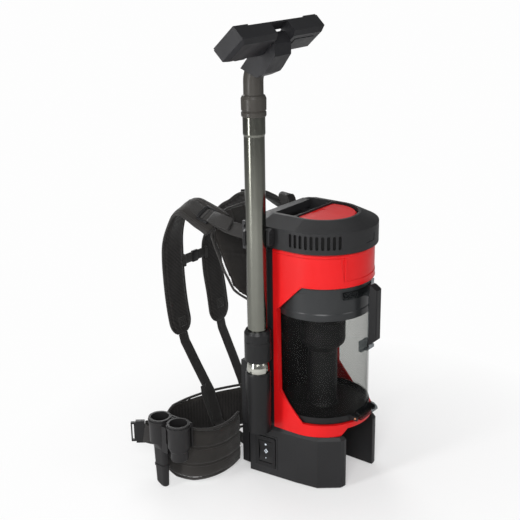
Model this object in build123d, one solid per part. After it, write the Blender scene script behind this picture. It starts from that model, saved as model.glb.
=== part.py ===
from build123d import *
import os
from math import cos, hypot, radians, sin

# Backpack vacuum cleaner: canister on a base, clear dust bin, stowed wand
# with floor nozzle, and a carrying harness with hip belt.
# Frame: origin on the floor under the canister axis, +Z up, in mm.
# -Y is the front (dust bin), +Y the rear (wearer), -X the wand side.
os.makedirs("parts", exist_ok=True)

# ------------------------------------------------------------ driving sizes
BODY_R = 93.0            # red housing, outside radius
BODY_WALL = 3.0
BARREL_R = 89.5          # bin bay inside the housing
DECK_Z = 104.0           # top of the base
BAY_FLOOR_Z = 127.0      # floor of the bin bay
BAY_TOP_Z = 391.0        # top of the bin opening
GROOVE_Z = 445.4         # groove round the upper band
RED_TOP_Z = 454.5        # top of the red housing
CHASSIS_TOP_Z = 454.4
CHASSIS_Y = 98.0         # rear face of the chassis
FRAME_Y = 103.0          # rear face of the back frame
HEAD_R = 98.5            # head cover, outside radius
HEAD_WALL = 3.4
CREASE_Z = 492.0         # head cover, wall to bevel
HEAD_TOP_Z = 507.5
RIM_R = 67.0             # head cover, radius at the top
HEAD_BACK_Y = 88.0
HINGE_GAP = 0.06         # radial running clearance of the small pins
FRAME_SCREWS = [(x, z) for z in (130, 250, 370) for x in (-70, 70)]

PARTS = {}


def part(build):
    """Register a builder; its name is the name of the exported file."""
    PARTS[build.__name__] = build
    return build


# ------------------------------------------------------------------ helpers
def box(x0, x1, y0, y1, z0, z1):
    return Pos((x0 + x1) / 2, (y0 + y1) / 2, (z0 + z1) / 2) * Box(x1 - x0, y1 - y0, z1 - z0)


def front_of(y, z0, z1):
    return box(-100, 100, -100, y, z0, z1)


def cyl(radius, z0, z1, x=0.0, y=0.0):
    return Pos(x, y, (z0 + z1) / 2) * Cylinder(radius, z1 - z0)


def ring(outer, inner, z0, z1, x=0.0, y=0.0):
    return cyl(outer, z0, z1, x, y) - cyl(inner, z0 - 1, z1 + 1, x, y)


def rod(start, end, radius):
    span = Vector(*end) - Vector(*start)
    return extrude(Plane(origin=start, z_dir=span) * Circle(radius), span.length)


def x_rod(radius, x0, x1, y, z):
    return rod((x0, y, z), (x1, y, z), radius)


def y_rod(radius, y0, y1, x, z):
    return rod((x, y0, z), (x, y1, z), radius)


def prism(points, z0, z1):
    return Pos(0, 0, z0) * extrude(Polygon(*points, align=None), z1 - z0, dir=(0, 0, 1))


def yz_prism(points, x0, x1):
    """(Y, Z) outline extruded along +X."""
    plane = Plane(origin=(x0, 0, 0), x_dir=(0, 1, 0), z_dir=(1, 0, 0))
    return extrude(plane * Polygon(*points, align=None), x1 - x0, dir=(1, 0, 0))


def xz_prism(points, y0, y1):
    """(X, Z) outline extruded along +Y."""
    plane = Plane(origin=(0, y0, 0), x_dir=(1, 0, 0), z_dir=(0, -1, 0))
    return extrude(plane * Polygon(*points, align=None), y1 - y0, dir=(0, 1, 0))


def spin(profile, x=0.0, y=0.0):
    """Closed (radius, Z) profile turned about a vertical axis."""
    return Pos(x, y, 0) * revolve(Plane.XZ * Polygon(*profile, align=None), Axis.Z)


def sector(start, end, radius, z0, z1, x=0.0, y=0.0, steps=24):
    """Pie slice between two angles in degrees."""
    angles = [radians(start + (end - start) * i / steps) for i in range(steps + 1)]
    rim = [(x + radius * cos(a), y + radius * sin(a)) for a in angles]
    return prism([(x, y)] + rim, z0, z1)


def turns(count, start=0):
    """Evenly spaced rotations about Z."""
    return [Rot(0, 0, start + k * 360 / count) for k in range(count)]


def soften(shape, edges, radii):
    """Fillet with the first radius that the edges can take."""
    for radius in radii:
        # a radius too large for the edges raises: go on to the next one
        try:
            rounded = fillet(edges, radius)
            if rounded.is_valid:
                return rounded
        except Exception:
            pass
    return shape


def body_plan(radius, back_y, flare=0.0):
    """Round canister plan with straight sides running back to back_y."""
    front, back = radius - 0.2, radius + flare
    sides = Polygon((-front, -6), (front, -6), (back, back_y), (-back, back_y), align=None)
    return Circle(radius) + sides


# ==================================================================== base
BASE_OUTLINE = [  # (X, Y)
    (-105, 94), (-94, -8), (-87, -48), (-60, -82), (-52, -84),
    (52, -84), (60, -82), (87, -48), (94, -8), (105, 94)]
BASE_Z = 2               # underside, raised by the foot pads
BASE_BEVEL_Z = 98
BASE_CEILING_Z = 99
BASE_WALL = 4.5
BAY_X = 46.0             # half width of the battery bay
REAR_FOOT = (86, 83.5)   # +X foot of the pair
FRONT_FOOT = (66, -60)
LOOM = (-72, 76)         # wire axis

# Frame on the -X wall: x forward along the wall, z outward, at the switch.
WALL_FORWARD = Vector(11, -102, 0).normalized()
WALL_OUT = Vector(-102, -11, 0).normalized()
SWITCH_CENTRE = Vector(-105, 94, 0) + WALL_FORWARD * 35.2 + Vector(0, 0, 50)
SWITCH = Plane(origin=SWITCH_CENTRE, x_dir=WALL_FORWARD, z_dir=WALL_OUT)
ROCKER_PIN_R = 1.5
ROCKER_WIDTH = 28.4


def on_wall(shape):
    return SWITCH.location * shape


def rocker_pin(radius, length):
    return on_wall(Pos(0, 0, -7) * Rot(0, 90, 0) * Cylinder(radius, length))


@part
def base_housing():
    face = Polygon(*BASE_OUTLINE, align=None)
    base = Pos(0, 0, BASE_Z) * extrude(face, BASE_BEVEL_Z - BASE_Z)
    base += Pos(0, 0, BASE_BEVEL_Z) * extrude(face, DECK_Z - BASE_BEVEL_Z, taper=36)
    inner_face = offset(face, amount=-BASE_WALL, kind=Kind.INTERSECTION)
    hollow = Pos(0, 0, 1) * extrude(inner_face, BASE_CEILING_Z - 1)
    # battery bay with its own walls, open to the front and widened at the top
    bay_block = box(-(BAY_X + 3), BAY_X + 3, -100, 43, 0, BASE_CEILING_Z)
    base -= hollow - bay_block
    base -= box(-BAY_X, BAY_X, -100, 40, 0, BASE_CEILING_Z)
    mouth = [(-BAY_X, 90), (-BAY_X, 98), (-52, 110), (52, 110), (BAY_X, 98), (BAY_X, 90)]
    base -= xz_prism(mouth, -100, -25)

    def at_front_corner(edge):
        centre = edge.center()
        return abs(centre.Y + 84) < 0.3 and abs(abs(centre.X) - 52) < 0.3

    base = soften(base, base.edges().filter_by(Axis.Z).filter_by(at_front_corner), (2.0, 1.0))
    # switch opening and the raised frame round it
    base -= on_wall(Pos(0, 0, -8) * Box(32.2, 49.2, 30))
    base += on_wall(Pos(0, 0, 0.4) * (Box(50, 69, 0.9) - Box(44, 63, 3)))
    base -= cyl(5, 90, 110, *LOOM)
    # bosses over the feet, the rear pair with pilot holes
    for side in (-1, 1):
        rear = (side * REAR_FOOT[0], REAR_FOOT[1])
        front = (side * FRONT_FOOT[0], FRONT_FOOT[1])
        base += cyl(7.5, BASE_Z, BASE_CEILING_Z, *rear)
        base -= cyl(2.0, 60, 110, *rear)
        boss = cyl(7, BASE_Z, BASE_CEILING_Z, *front) & prism(BASE_OUTLINE, 0, 120)
        base += boss - box(-BAY_X, BAY_X, -100, 40, 0, 120)
    return base


@part
def foot_pads():
    pads = []
    for side in (-1, 1):
        pads.append(cyl(6.5, 0, BASE_Z, side * REAR_FOOT[0], REAR_FOOT[1]))
        pads.append(cyl(6, 0, BASE_Z, side * FRONT_FOOT[0], FRONT_FOOT[1]))
    return pads


@part
def battery_dock():
    """Block under the deck with two slide rails."""
    dock = box(-34, 34, -14, 39.8, 84, BASE_CEILING_Z)
    dock -= box(-27, 27, -20, 34, 83, 93)
    dock += box(-27, -22, -14, 34, 84, 86.5) + box(22, 27, -14, 34, 84, 86.5)
    return soften(dock, dock.edges().filter_by(Axis.Z), (2.0, 1.0))


@part
def dock_terminals():
    return [box(x - 0.6, x + 0.6, 12, 30, 87.5, 93) for x in (-15, -5, 5, 15)]


@part
def switch_bezel():
    bezel = on_wall(Pos(0, 0, 1.4) * Box(43, 62, 2.6))
    corners = bezel.edges().filter_by(lambda e: e.length < 2.7)
    bezel = soften(bezel, corners, (5.0, 3.0))
    bezel = on_wall(Pos(0, 0, -6) * Box(31.6, 48.6, 12.4)) + bezel
    bezel -= on_wall(Pos(0, 0, -5) * Box(29, 46, 30))
    return bezel - rocker_pin(ROCKER_PIN_R + HINGE_GAP, 34)


@part
def power_rocker():
    outline = [  # (up, outward)
        (-21.6, 2.2), (-11, 0.4), (0, -0.4), (11, 0.4), (21.6, 2.2),
        (20.4, -4.0), (8, -10.5), (-8, -10.5), (-20.4, -4.0)]
    plane = Plane(origin=SWITCH.from_local_coords((-ROCKER_WIDTH / 2, 0, 0)),
                  x_dir=(0, 0, 1), z_dir=WALL_FORWARD)
    rocker = extrude(plane * Polygon(*outline, align=None), ROCKER_WIDTH, dir=WALL_FORWARD)
    return rocker + rocker_pin(ROCKER_PIN_R, 31.0)


@part
def control_board():
    components = [  # (y, z, height, width, depth)
        (30, 30, 22, 16, 9), (56, 30, 16, 16, 7), (34, 60, 16, 20, 6), (62, 62, 22, 14, 10)]
    face_x = -64.6
    board = box(face_x, -63.0, 14, 84, 12, 88)
    for y, z, height, width, depth in components:
        board += box(face_x - depth, face_x + 0.1, y - width / 2, y + width / 2,
                     z - height / 2, z + height / 2)
    return board


# ============================================================= red housing
INLET_YZ = (28.0, 305.0)   # hose inlet axis on the +X side
INLET_R = 17.5
BIN_R = 86.0             # clear bin, outside radius


@part
def canister_housing():
    housing = Pos(0, 0, DECK_Z) * extrude(body_plan(BODY_R, 56, 1.5), RED_TOP_Z - DECK_Z)
    cavity = body_plan(BODY_R - BODY_WALL, 53, 1.2)
    housing -= Pos(0, 0, 395) * extrude(cavity, 80)
    housing -= Pos(0, 0, DECK_Z - 1) * extrude(cavity, 20)
    # bin bay: a barrel open to the front, its side edges differ left and right
    housing -= cyl(BARREL_R, BAY_FLOOR_Z, BAY_TOP_Z)
    housing -= box(-BARREL_R, BARREL_R, -130, 0, BAY_FLOOR_Z, BAY_TOP_Z)
    for x0, x1, edge in (
            (0, 130, [(23, 176), (26, 345), (-18, BAY_TOP_Z)]),
            (-130, 0, [(33, 180), (36.5, 339), (-16, BAY_TOP_Z)])):
        floor = [(-140, BAY_FLOOR_Z), (-20, BAY_FLOOR_Z)]
        housing -= yz_prism(floor + edge + [(-140, BAY_TOP_Z)], x0, x1)
    # hollow corners behind the barrel, open to the back
    for side, y0 in ((-1, 44), (1, 20)):
        x0, x1 = sorted((side * 58, side * 90.5))
        housing -= box(x0, x1, y0, 70, 110, 450) - cyl(BARREL_R + BODY_WALL, 100, 460)
    # air hole in the ceiling, hose inlet hole
    housing -= cyl(31, 380, 400)
    housing -= x_rod(INLET_R + 3.6, 70, 110, *INLET_YZ)
    # front notch of the lower ring over the battery bay
    housing -= xz_prism([(-56, 100), (-41, 117.5), (41, 117.5), (56, 100)], -110, -55)
    # recessed front panel on the upper band
    housing -= (sector(-120, -52, 130, 403, GROOVE_Z)
                & ring(96, BODY_R - 0.9, 403, GROOVE_Z))
    # slim triangular facets beside the panel
    for side, degrees in ((-1, -123.5), (1, -48.5)):
        angle = radians(degrees)
        out = Vector(cos(angle), sin(angle), 0)
        along = Vector(-sin(angle), cos(angle), 0) * side
        plane = Plane(origin=out * (BODY_R + 3), x_dir=along, z_dir=out)
        # the plane's y axis points down on the -X side
        facet = [(-1.2, side * GROOVE_Z), (6.5, side * GROOVE_Z), (-1.2, side * 400)][::side]
        housing -= extrude(plane * Polygon(*facet, align=None), 4.7, dir=-out)
    # fine groove round the upper band, then the step under the head cover
    for z, height, depth, core_z, core_height in (
            (GROOVE_Z, 1.3, 0.8, 445, 2), (451.2, 10, 1.0, 451, 12)):
        outer = Pos(0, 0, z) * extrude(body_plan(BODY_R + 5, 60, 3), height)
        core = body_plan(BODY_R - depth, 56, 1.5)
        housing -= outer - Pos(0, 0, core_z) * extrude(core, core_height)
    # screw holes up from the base
    for side in (-1, 1):
        housing -= cyl(2.2, 100, 112, side * 62, 46)
    return housing


@part
def chassis_spine():
    """Frame behind the housing that follows the barrel, with a centre rib."""
    outer_cut = cyl(BODY_R + 0.5, 90, 460)
    chassis = box(-84, 84, 56.6, CHASSIS_Y, DECK_Z, CHASSIS_TOP_Z) - outer_cut
    chassis -= box(-81, 81, 59.6, 95, DECK_Z - 1, 449) - cyl(BODY_R + 3.5, 90, 460)
    chassis += box(-6, 6, 90, CHASSIS_Y, DECK_Z, CHASSIS_TOP_Z) - outer_cut
    for x, z in FRAME_SCREWS:
        chassis -= y_rod(2.2, 90, 104, x, z)
    return chassis


@part
def intake_port():
    """Flanged hose stub on the +X side."""
    port = x_rod(27, BODY_R + 1.7, BODY_R + 5.0, *INLET_YZ)
    port += x_rod(INLET_R + 3.4, 90, 125, *INLET_YZ)
    port += x_rod(INLET_R + 4.6, 119, 122, *INLET_YZ)
    return port - x_rod(INLET_R, 70, 140, *INLET_YZ)


@part
def inlet_seal():
    seal = x_rod(INLET_R + 3.0, 72, 92, *INLET_YZ) - x_rod(INLET_R, 70, 94, *INLET_YZ)
    return (seal - cyl(BIN_R + 0.15, 250, 360)) & cyl(BARREL_R + 0.2, 250, 360)


# ============================================================== head cover
FILTER_R = 57.0          # filter cup, inside radius
FILTER_FLOOR_Z = 480.8


def head_outside():
    """Solid outer form: wall, bevel to the rim, cut rear corners and end."""
    head = Pos(0, 0, RED_TOP_Z) * extrude(body_plan(HEAD_R, HEAD_BACK_Y), CREASE_Z - RED_TOP_Z)
    bevel = spin([(0, CREASE_Z), (HEAD_R, CREASE_Z), (RIM_R, HEAD_TOP_Z), (0, HEAD_TOP_Z)])
    rear_bevel = xz_prism([(-HEAD_R, CREASE_Z), (HEAD_R, CREASE_Z),
                           (RIM_R, HEAD_TOP_Z), (-RIM_R, HEAD_TOP_Z)], -6, HEAD_BACK_Y)
    head = head + bevel + rear_bevel
    head = head & box(-130, 130, -130, HEAD_BACK_Y, 440, 520)
    for side in (-1, 1):
        slope = Plane(origin=(side * 58.5, 75, HEAD_TOP_Z),
                      z_dir=Vector(side * 0.3695, 0.2415, 0.8973))
        x0, x1 = sorted((0, side * 140))
        head = head - (slope.location * (Pos(0, 0, 25) * Box(160, 160, 50))
                       & box(x0, x1, 40, 140, 440, 560))
    top = HEAD_TOP_Z + 1
    head = head - yz_prism([(84, top), (90, top), (90, 497)], -120, 120)
    return head - yz_prism([(84, 452), (92, 452), (92, 500), (88.5, 474)], -120, 120)


@part
def motor_head_cover():
    head = head_outside()
    # hollow inside: wide below, narrower above in front of the hand slot
    inner = HEAD_R - HEAD_WALL
    head = head - (cyl(inner, 450, 472) & front_of(54, 440, 480))
    dome = [(0, 471), (inner, 471), (inner, 488.0), (66, 496.5), (0, 496.5)]
    head = head - (spin(dome) & front_of(16, 440, 505))
    # exhaust well in the top, with the filter cup below it
    head = head - (cyl(RIM_R - 5.0, 499.5, 520) & front_of(18.4, 499, 520))
    cup = cyl(59.5, 478, 499.5) & front_of(11.5, 470, 500)
    cup = cup - (cyl(FILTER_R, FILTER_FLOOR_Z, 520) & front_of(9, 470, 520))
    cup = cup - (cyl(49, 470, 490) & front_of(5, 470, 500))
    head = head - (cyl(FILTER_R, FILTER_FLOOR_Z, 510) & front_of(9, 470, 512)) + cup
    # hand slot in front of the carry bar, open under the bar to the back
    head = head - box(-59, 59, 20, 68, 476, HEAD_TOP_Z + 1)
    head = head - yz_prism([(66, 476), (94, 476), (94, 488), (66, 491)], -59, 59)
    head = head - box(-59, 59, 66, 94, 505, 520)
    # cooling slots on both flanks
    slots = []
    for k in range(10):
        angle = radians(178.6 + 5.8 * k)
        for side in (-1, 1):
            out = Vector(-side * cos(angle), sin(angle), 0)
            plane = Plane(origin=out * (HEAD_R - 6) + Vector(0, 0, 475.2),
                          x_dir=(0, 0, 1), z_dir=out)
            slots.append(extrude(plane * SlotOverall(24.2, 5.4), 12))
    head = head - slots
    # recessed plate on the front
    head = head - (sector(-98, -82, 130, 467, 481) & ring(100, HEAD_R - 0.8, 467, 481))
    crease = head.edges().filter_by(GeomType.CIRCLE).filter_by(
        lambda e: abs(e.center().Z - CREASE_Z) < 0.2 and e.radius > HEAD_R - 1)
    return soften(head, crease, (2.0, 1.0))


@part
def exhaust_cover():
    profile = [(0, 499.7), (59.6, 499.7), (59.6, 501.4), (56.4, 504.5), (0, 504.5)]
    cover = spin(profile) & front_of(17.2, 495, 515)
    cover = cover - (cyl(56.9, 498, 502.2) & front_of(15.0, 495, 515))
    cover = cover + (ring(56.4, 54.2, 496.4, 503.5) & front_of(8.6, 490, 515))
    return cover - box(-16, 16, 6, 15, 503.3, 506)


@part
def exhaust_filter():
    block = cyl(56, 481, 496) & front_of(8, 480, 497)
    for k in range(-6, 7):
        block = block - box(k * 8 - 2, k * 8 + 2, -60, 4, 484, 500)
    return block


# =================================================================== motor
SHAFT_R = 4.0
CORE_Z = (428, 452)      # stator and rotor
FAN_R = 45
BEARING_R = 12.1
BEARING_HEIGHT = 6.5


@part
def motor_can():
    can = spin([(20, 398), (51, 398), (51, 470), (48.6, 470), (48.6, 400.6), (20, 400.6)])
    # upper and lower bearing plates, six windows each
    can += ring(49, 12.2, 462, 465) - cyl(12, 460, 470)
    for turn in turns(6):
        can -= Pos(0, 0, 462) * (turn * (Pos(31, 0, 2) * Box(22, 14, 12)))
    can += ring(49, 12.2, 421.5, 424)
    for turn in turns(6):
        can -= turn * (Pos(31, 0, 423) * Box(20, 16, 8))
    return can


@part
def motor_gasket():
    return ring(50, 40, 395, 398)


@part
def motor_stator():
    stator = ring(36, 23.6, *CORE_Z)
    for turn in turns(6, start=30):
        stator -= turn * (Pos(26, 0, 440) * Box(9, 6, 30))
    return stator + (ring(48.5, 35.5, 437, 443) - cyl(35.4, 436, 444))


@part
def motor_bearings():
    return [ring(BEARING_R, SHAFT_R + 0.05, z, z + BEARING_HEIGHT) for z in (418.5, 459.5)]


@part
def rotor_shaft():
    return cyl(SHAFT_R, 402, 472)


@part
def rotor_core():
    return ring(23.0, SHAFT_R, *CORE_Z)


@part
def impeller():
    """Back plate, hub, lower shroud and nine slanted blades."""
    bore = cyl(SHAFT_R, 400, 430)
    fan = cyl(FAN_R, 416, 418) - bore + ring(10, SHAFT_R, 402.5, 416.5)
    fan += ring(FAN_R, 22, 402.5, 404)
    for turn in turns(9):
        fan += turn * (Pos(27, 0, 409.9) * Rot(0, 0, 24) * Box(34, 1.6, 12.4))
    fan = fan & cyl(FAN_R, 400, 420)
    return fan - bore


# ================================================================ dust bin
BIN_Z = (134, 333)       # clear canister
DOOR_FACE_Z = 131        # top of the door plate, under the gasket
LID_SEAT_Z = 334.8
SCREEN_Z = 262           # joint of cyclone tube and screen
LATCH_YZ = (-93, 135.2)  # latch pin axis
LATCH_PIN_R = 2.0
LATCH_PIN_X = 31.5       # half length, out to the lug faces


@part
def bin_canister():
    canister = ring(BIN_R, BIN_R - 2.4, *BIN_Z)
    canister += ring(BIN_R + 1.6, BIN_R - 1.2, 141.4, 143.4)
    return canister - x_rod(16.5, 60, 100, *INLET_YZ)


@part
def bin_lid():
    lid = spin([
        (86.15, 329), (88.3, 329), (88.3, 340.5), (87.2, 342.5), (87.2, 388.0), (86.2, 389.4),
        (30, 389.4), (30, 385.5), (83.6, 385.5), (83.6, 338), (44.5, 338),
        (44.5, LID_SEAT_Z), (86.15, LID_SEAT_Z)])
    # shallow notches in the upper rim
    for start in (184, 346):
        lid -= sector(start, start + 10, 130, 378, 391) & ring(90, 86.3, 378, 391)
    return lid


@part
def lid_gasket():
    return ring(BIN_R - 0.1, BIN_R - 3.6, BIN_Z[1], LID_SEAT_Z)


@part
def cyclone_screen():
    screen = spin([(39.6, SCREEN_Z), (42, SCREEN_Z), (42, 331.4), (47, 331.4),
                   (47, LID_SEAT_Z), (39.6, LID_SEAT_Z)])
    for turn in turns(24):
        screen -= turn * (Pos(41, 0, 297) * Box(8, 4.2, 58))
    return screen


@part
def cyclone_tube():
    return spin([
        (25.2, 131.1), (30.2, 131.1), (30.4, 134), (28.2, 139.5), (27.4, 146), (27.4, 241),
        (28.6, 246), (34.5, 251), (40, 256.5), (42, SCREEN_Z), (36.5, SCREEN_Z),
        (33, 255), (25.2, 246)])


@part
def pre_filter():
    cartridge = ring(40, 22, 340, 384)
    for turn in turns(24):
        cartridge -= turn * (Pos(39.5, 0, 362) * Box(6, 3.6, 50))
    return cartridge


@part
def bin_door():
    door = spin([(0, 127.4), (87.0, 127.4), (88.0, 128.6), (88.0, 140.8),
                 (86.2, 140.8), (86.2, DOOR_FACE_Z), (0, DOOR_FACE_Z)])
    # front lugs for the latch pin
    for side in (-1, 1):
        x0, x1 = sorted((side * 27.0, side * LATCH_PIN_X))
        bore = x_rod(LATCH_PIN_R, x0 - 1, x1 + 1, *LATCH_YZ)
        lug = box(x0, x1, -97, -80, DOOR_FACE_Z, 139.5) - cyl(87.2, 120, 150)
        door += lug - bore
        door -= bore
    # rear hinge knuckle
    knuckle = box(-16, 16, 84, 88.6, 128.5, 139) & cyl(88.9, 120, 150) - cyl(86.2, 120, 150)
    return door + knuckle


@part
def door_gasket():
    return ring(BIN_R - 0.1, BIN_R - 5.0, DOOR_FACE_Z, BIN_Z[0])


@part
def latch_pin():
    return x_rod(LATCH_PIN_R, -LATCH_PIN_X, LATCH_PIN_X, *LATCH_YZ)


@part
def door_latch():
    latch = yz_prism([(-89.3, 132.9), (-103.5, 133.2), (-106, 136.5), (-104.5, 141.5),
                      (-98, 146.2), (-90, 147.6), (-89.3, 147.4)], -26.6, 26.6)
    latch -= cyl(89.1, 120, 160)
    # grip grooves that follow the sloping top
    for k in range(9):
        y = -91.2 - k * 1.62
        z = 148.0 + (y + 91.0) * 0.48
        latch -= box(-24, 24, y - 0.45, y + 0.45, z - 1.4, z + 6)
    return latch - x_rod(LATCH_PIN_R + HINGE_GAP, -30, 30, *LATCH_YZ)


GRIP_Y = -103.4          # rear face of the grip
GRIP_Z = (288, 381)      # straight front of the grip


@part
def bin_handle():
    low, high = GRIP_Z
    grip = yz_prism([(GRIP_Y, 389), (-107, 388.4), (-118.5, high), (-118.5, low),
                     (-107, 277.6), (GRIP_Y, 277)], -8.5, 8.5)
    front = grip.edges().filter_by(lambda e: abs(e.length - (high - low)) < 0.3)
    return soften(grip, front, (3.0, 2.0, 1.0))


@part
def handle_bracket():
    bracket = ring(92.4, 87.5, 368, 381) & sector(-123, -57, 130, 360, 385)
    bracket += box(-7, 7, GRIP_Y, -90, 368, 381) - cyl(87.5, 350, 390)
    bracket += box(-5, 5, GRIP_Y, -99.4, 266, 386)
    bracket += box(-12, 12, GRIP_Y, -90, 266, 272)
    bracket += box(-12, 12, -92, -80, 260, 280) - cyl(BIN_R + 0.2, 250, 300)
    return bracket


# ==================================================================== wand
WAND = (-122.0, 58.0)    # vertical axis, (X, Y)
TUBE_R = 17.75           # outer tube, outside radius
TUBE_BORE_R = 16.38
TUBE_TOP_Z = 688.0


@part
def wand_cup():
    cup = spin([(19.3, 111.8), (22.0, 111.8), (23.1, 190), (23.3, 221), (22.4, 225),
                (19.3, 225)], *WAND) + cyl(22.0, 106, 111.9, *WAND)
    arm = box(-104, -84.2, 61, 71, 118, 200) + box(-110, -96, 62, 70, 122, 196)
    return cup + (arm - cyl(20.2, 100, 220, *WAND))


@part
def wand_inner_tube():
    return spin([
        (15.1, 112), (19.2, 112), (19.2, 225.05), (20.4, 225.05), (20.6, 230), (20.1, 236),
        (18.9, 241.5), (17.4, 246), (16.3, 249), (16.3, 612), (15.1, 612)], *WAND)


@part
def wand_outer_tube():
    return spin([
        (TUBE_BORE_R, 252), (TUBE_R, 252), (TUBE_R, 274), (19.4, 274), (19.4, 277),
        (TUBE_R, 277), (TUBE_R, 655), (19.0, 659), (19.0, TUBE_TOP_Z),
        (TUBE_BORE_R, TUBE_TOP_Z)], *WAND)


@part
def wand_collar():
    bore = TUBE_R + 0.08
    return spin([
        (bore, 248), (23.8, 248), (24.3, 249), (24.3, 285), (23.7, 285.6), (23.7, 286.8),
        (24.3, 287.4), (24.3, 301), (21.4, 307), (bore, 307), (bore, 277.1), (19.5, 277.1),
        (19.5, 273.9), (bore, 273.9)], *WAND)


@part
def wand_clip():
    bore = cyl(18.3, 450, 500, *WAND)
    clip = sector(-57, 133, 22.6, 464, 489, *WAND, steps=30) - bore
    clip += box(-100.6, -98.55, 46, 70, 466, 487)
    # ribbed thumb grip with a pointed top on the free end
    thumb = xz_prism([(-116, 464), (-101.5, 464), (-101.5, 486), (-108, 493.5),
                      (-116, 489)], 33.6, 43)
    thumb += box(-104.5, -101.4, 33.6, 58, 466, 485)
    thumb -= bore
    for k in range(5):
        thumb -= box(-118, -100, 32, 34.8, 466.4 + 4.2 * k, 468.2 + 4.2 * k)
    return clip + thumb


# ============================================================ floor nozzle
# The neck bends forward from the wand axis and ends in the swivel socket.
BEND = radians(24.0)
BEND_R = 40.0
BEND_Z = 745
NECK_R = 16.8
NECK_BORE_R = 13.4
SOCKET_Y = WAND[1] - BEND_R * (1 - cos(BEND))
SOCKET_Z = BEND_Z + BEND_R * sin(BEND)
SOCKET_END = Vector(WAND[0], SOCKET_Y, SOCKET_Z)
SOCKET_DIR = Vector(0, -sin(BEND), cos(BEND))
SOCKET = Plane(origin=SOCKET_END, x_dir=(1, 0, 0), z_dir=SOCKET_DIR)

# Nozzle axes: ALONG the mouth, ACROSS it, and UP from the sole to the neck.
NOZZLE_CENTRE = Vector(-114.0, 22.0, 815.0)
YAW, TILT = radians(5.5), radians(43.5)
NOZZLE_LENGTH, NOZZLE_DEPTH, NOZZLE_HEIGHT = 252.0, 52.0, 28.0
LEVEL = Vector(-sin(YAW), cos(YAW), 0)
ALONG = Vector(cos(YAW), sin(YAW), 0)
ACROSS = LEVEL * (-cos(TILT)) + Vector(0, 0, 1) * sin(TILT)
UP = LEVEL * (-sin(TILT)) - Vector(0, 0, 1) * cos(TILT)
NOZZLE = Plane(origin=NOZZLE_CENTRE, x_dir=ALONG, z_dir=UP)
SECTION = Plane(origin=NOZZLE_CENTRE, x_dir=ACROSS, z_dir=ALONG)   # local (across, up)
SWIVEL_PIN_R = 3.0
BRISTLE_ROWS = (-15.5, 15.5)


def on_nozzle(shape):
    return NOZZLE.location * shape


def nozzle_bar(outline, half_length):
    """(across, up) outline run along the nozzle, centred."""
    return SECTION.location * prism(outline, -half_length, half_length)


def nozzle_rod(radius, half_length):
    rod_shape = extrude(Circle(radius), 2 * half_length)
    return SECTION.location * (Pos(0, 0, -half_length) * rod_shape)


@part
def nozzle_neck():
    neck = spin([
        (NECK_BORE_R, 664), (16.3, 664), (16.3, 688.2), (20.6, 688.2), (21.2, 690),
        (21.2, 695), (19.6, 697), (21.2, 699), (21.4, 718), (19.4, 722.5),
        (NECK_R, 724.5), (NECK_R, BEND_Z), (NECK_BORE_R, BEND_Z)], *WAND)
    start = Plane(origin=(*WAND, BEND_Z), z_dir=(0, 0, 1))
    bend_axis = Axis((WAND[0], WAND[1] - BEND_R, BEND_Z), (1, 0, 0))
    neck = neck + revolve(start * (Circle(NECK_R) - Circle(NECK_BORE_R)), bend_axis, 24.0)
    # spigot into the swivel and the collar inside the bend
    return (neck + extrude(SOCKET * (Circle(12.9) - Circle(11.0)), 7.0)
            + extrude(SOCKET * (Circle(14.5) - Circle(11.0)), -4.0))


@part
def nozzle_swivel():
    def section_point(side):
        """Edge of the neck end, seen in the nozzle section."""
        point = Vector(NOZZLE_CENTRE.X, SOCKET_Y + side * NECK_R * cos(BEND),
                       SOCKET_Z + side * NECK_R * sin(BEND))
        offset_from_centre = point - NOZZLE_CENTRE
        return (offset_from_centre.dot(ACROSS), offset_from_centre.dot(UP))

    outline = [section_point(1), (-9, -6.5), (5, -8.4), (9.6, 1), (8.5, 17.5),
               (-4.5, 31), (-38, 38), section_point(-1)]
    swivel = nozzle_bar(outline, 25.5)
    swivel += nozzle_rod(9.9, 25.5)
    plan = [(-26.0, -75), (10.5, -75), (26, -30), (26, 20), (-26, 20), (-26, -30)]
    swivel = swivel & on_nozzle(prism(plan, -30, 60))
    swivel = swivel + extrude(SOCKET * Circle(NECK_R), 9)
    # cut the end square to the neck and bore it
    end = Plane(origin=SOCKET_END + SOCKET_DIR * 0.3, x_dir=(1, 0, 0), z_dir=SOCKET_DIR)
    swivel = swivel - extrude(end * Rectangle(140, 140), -60)
    swivel = swivel - extrude(SOCKET * Circle(13.0), 26)
    return swivel + nozzle_rod(SWIVEL_PIN_R, 28.6)


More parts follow.
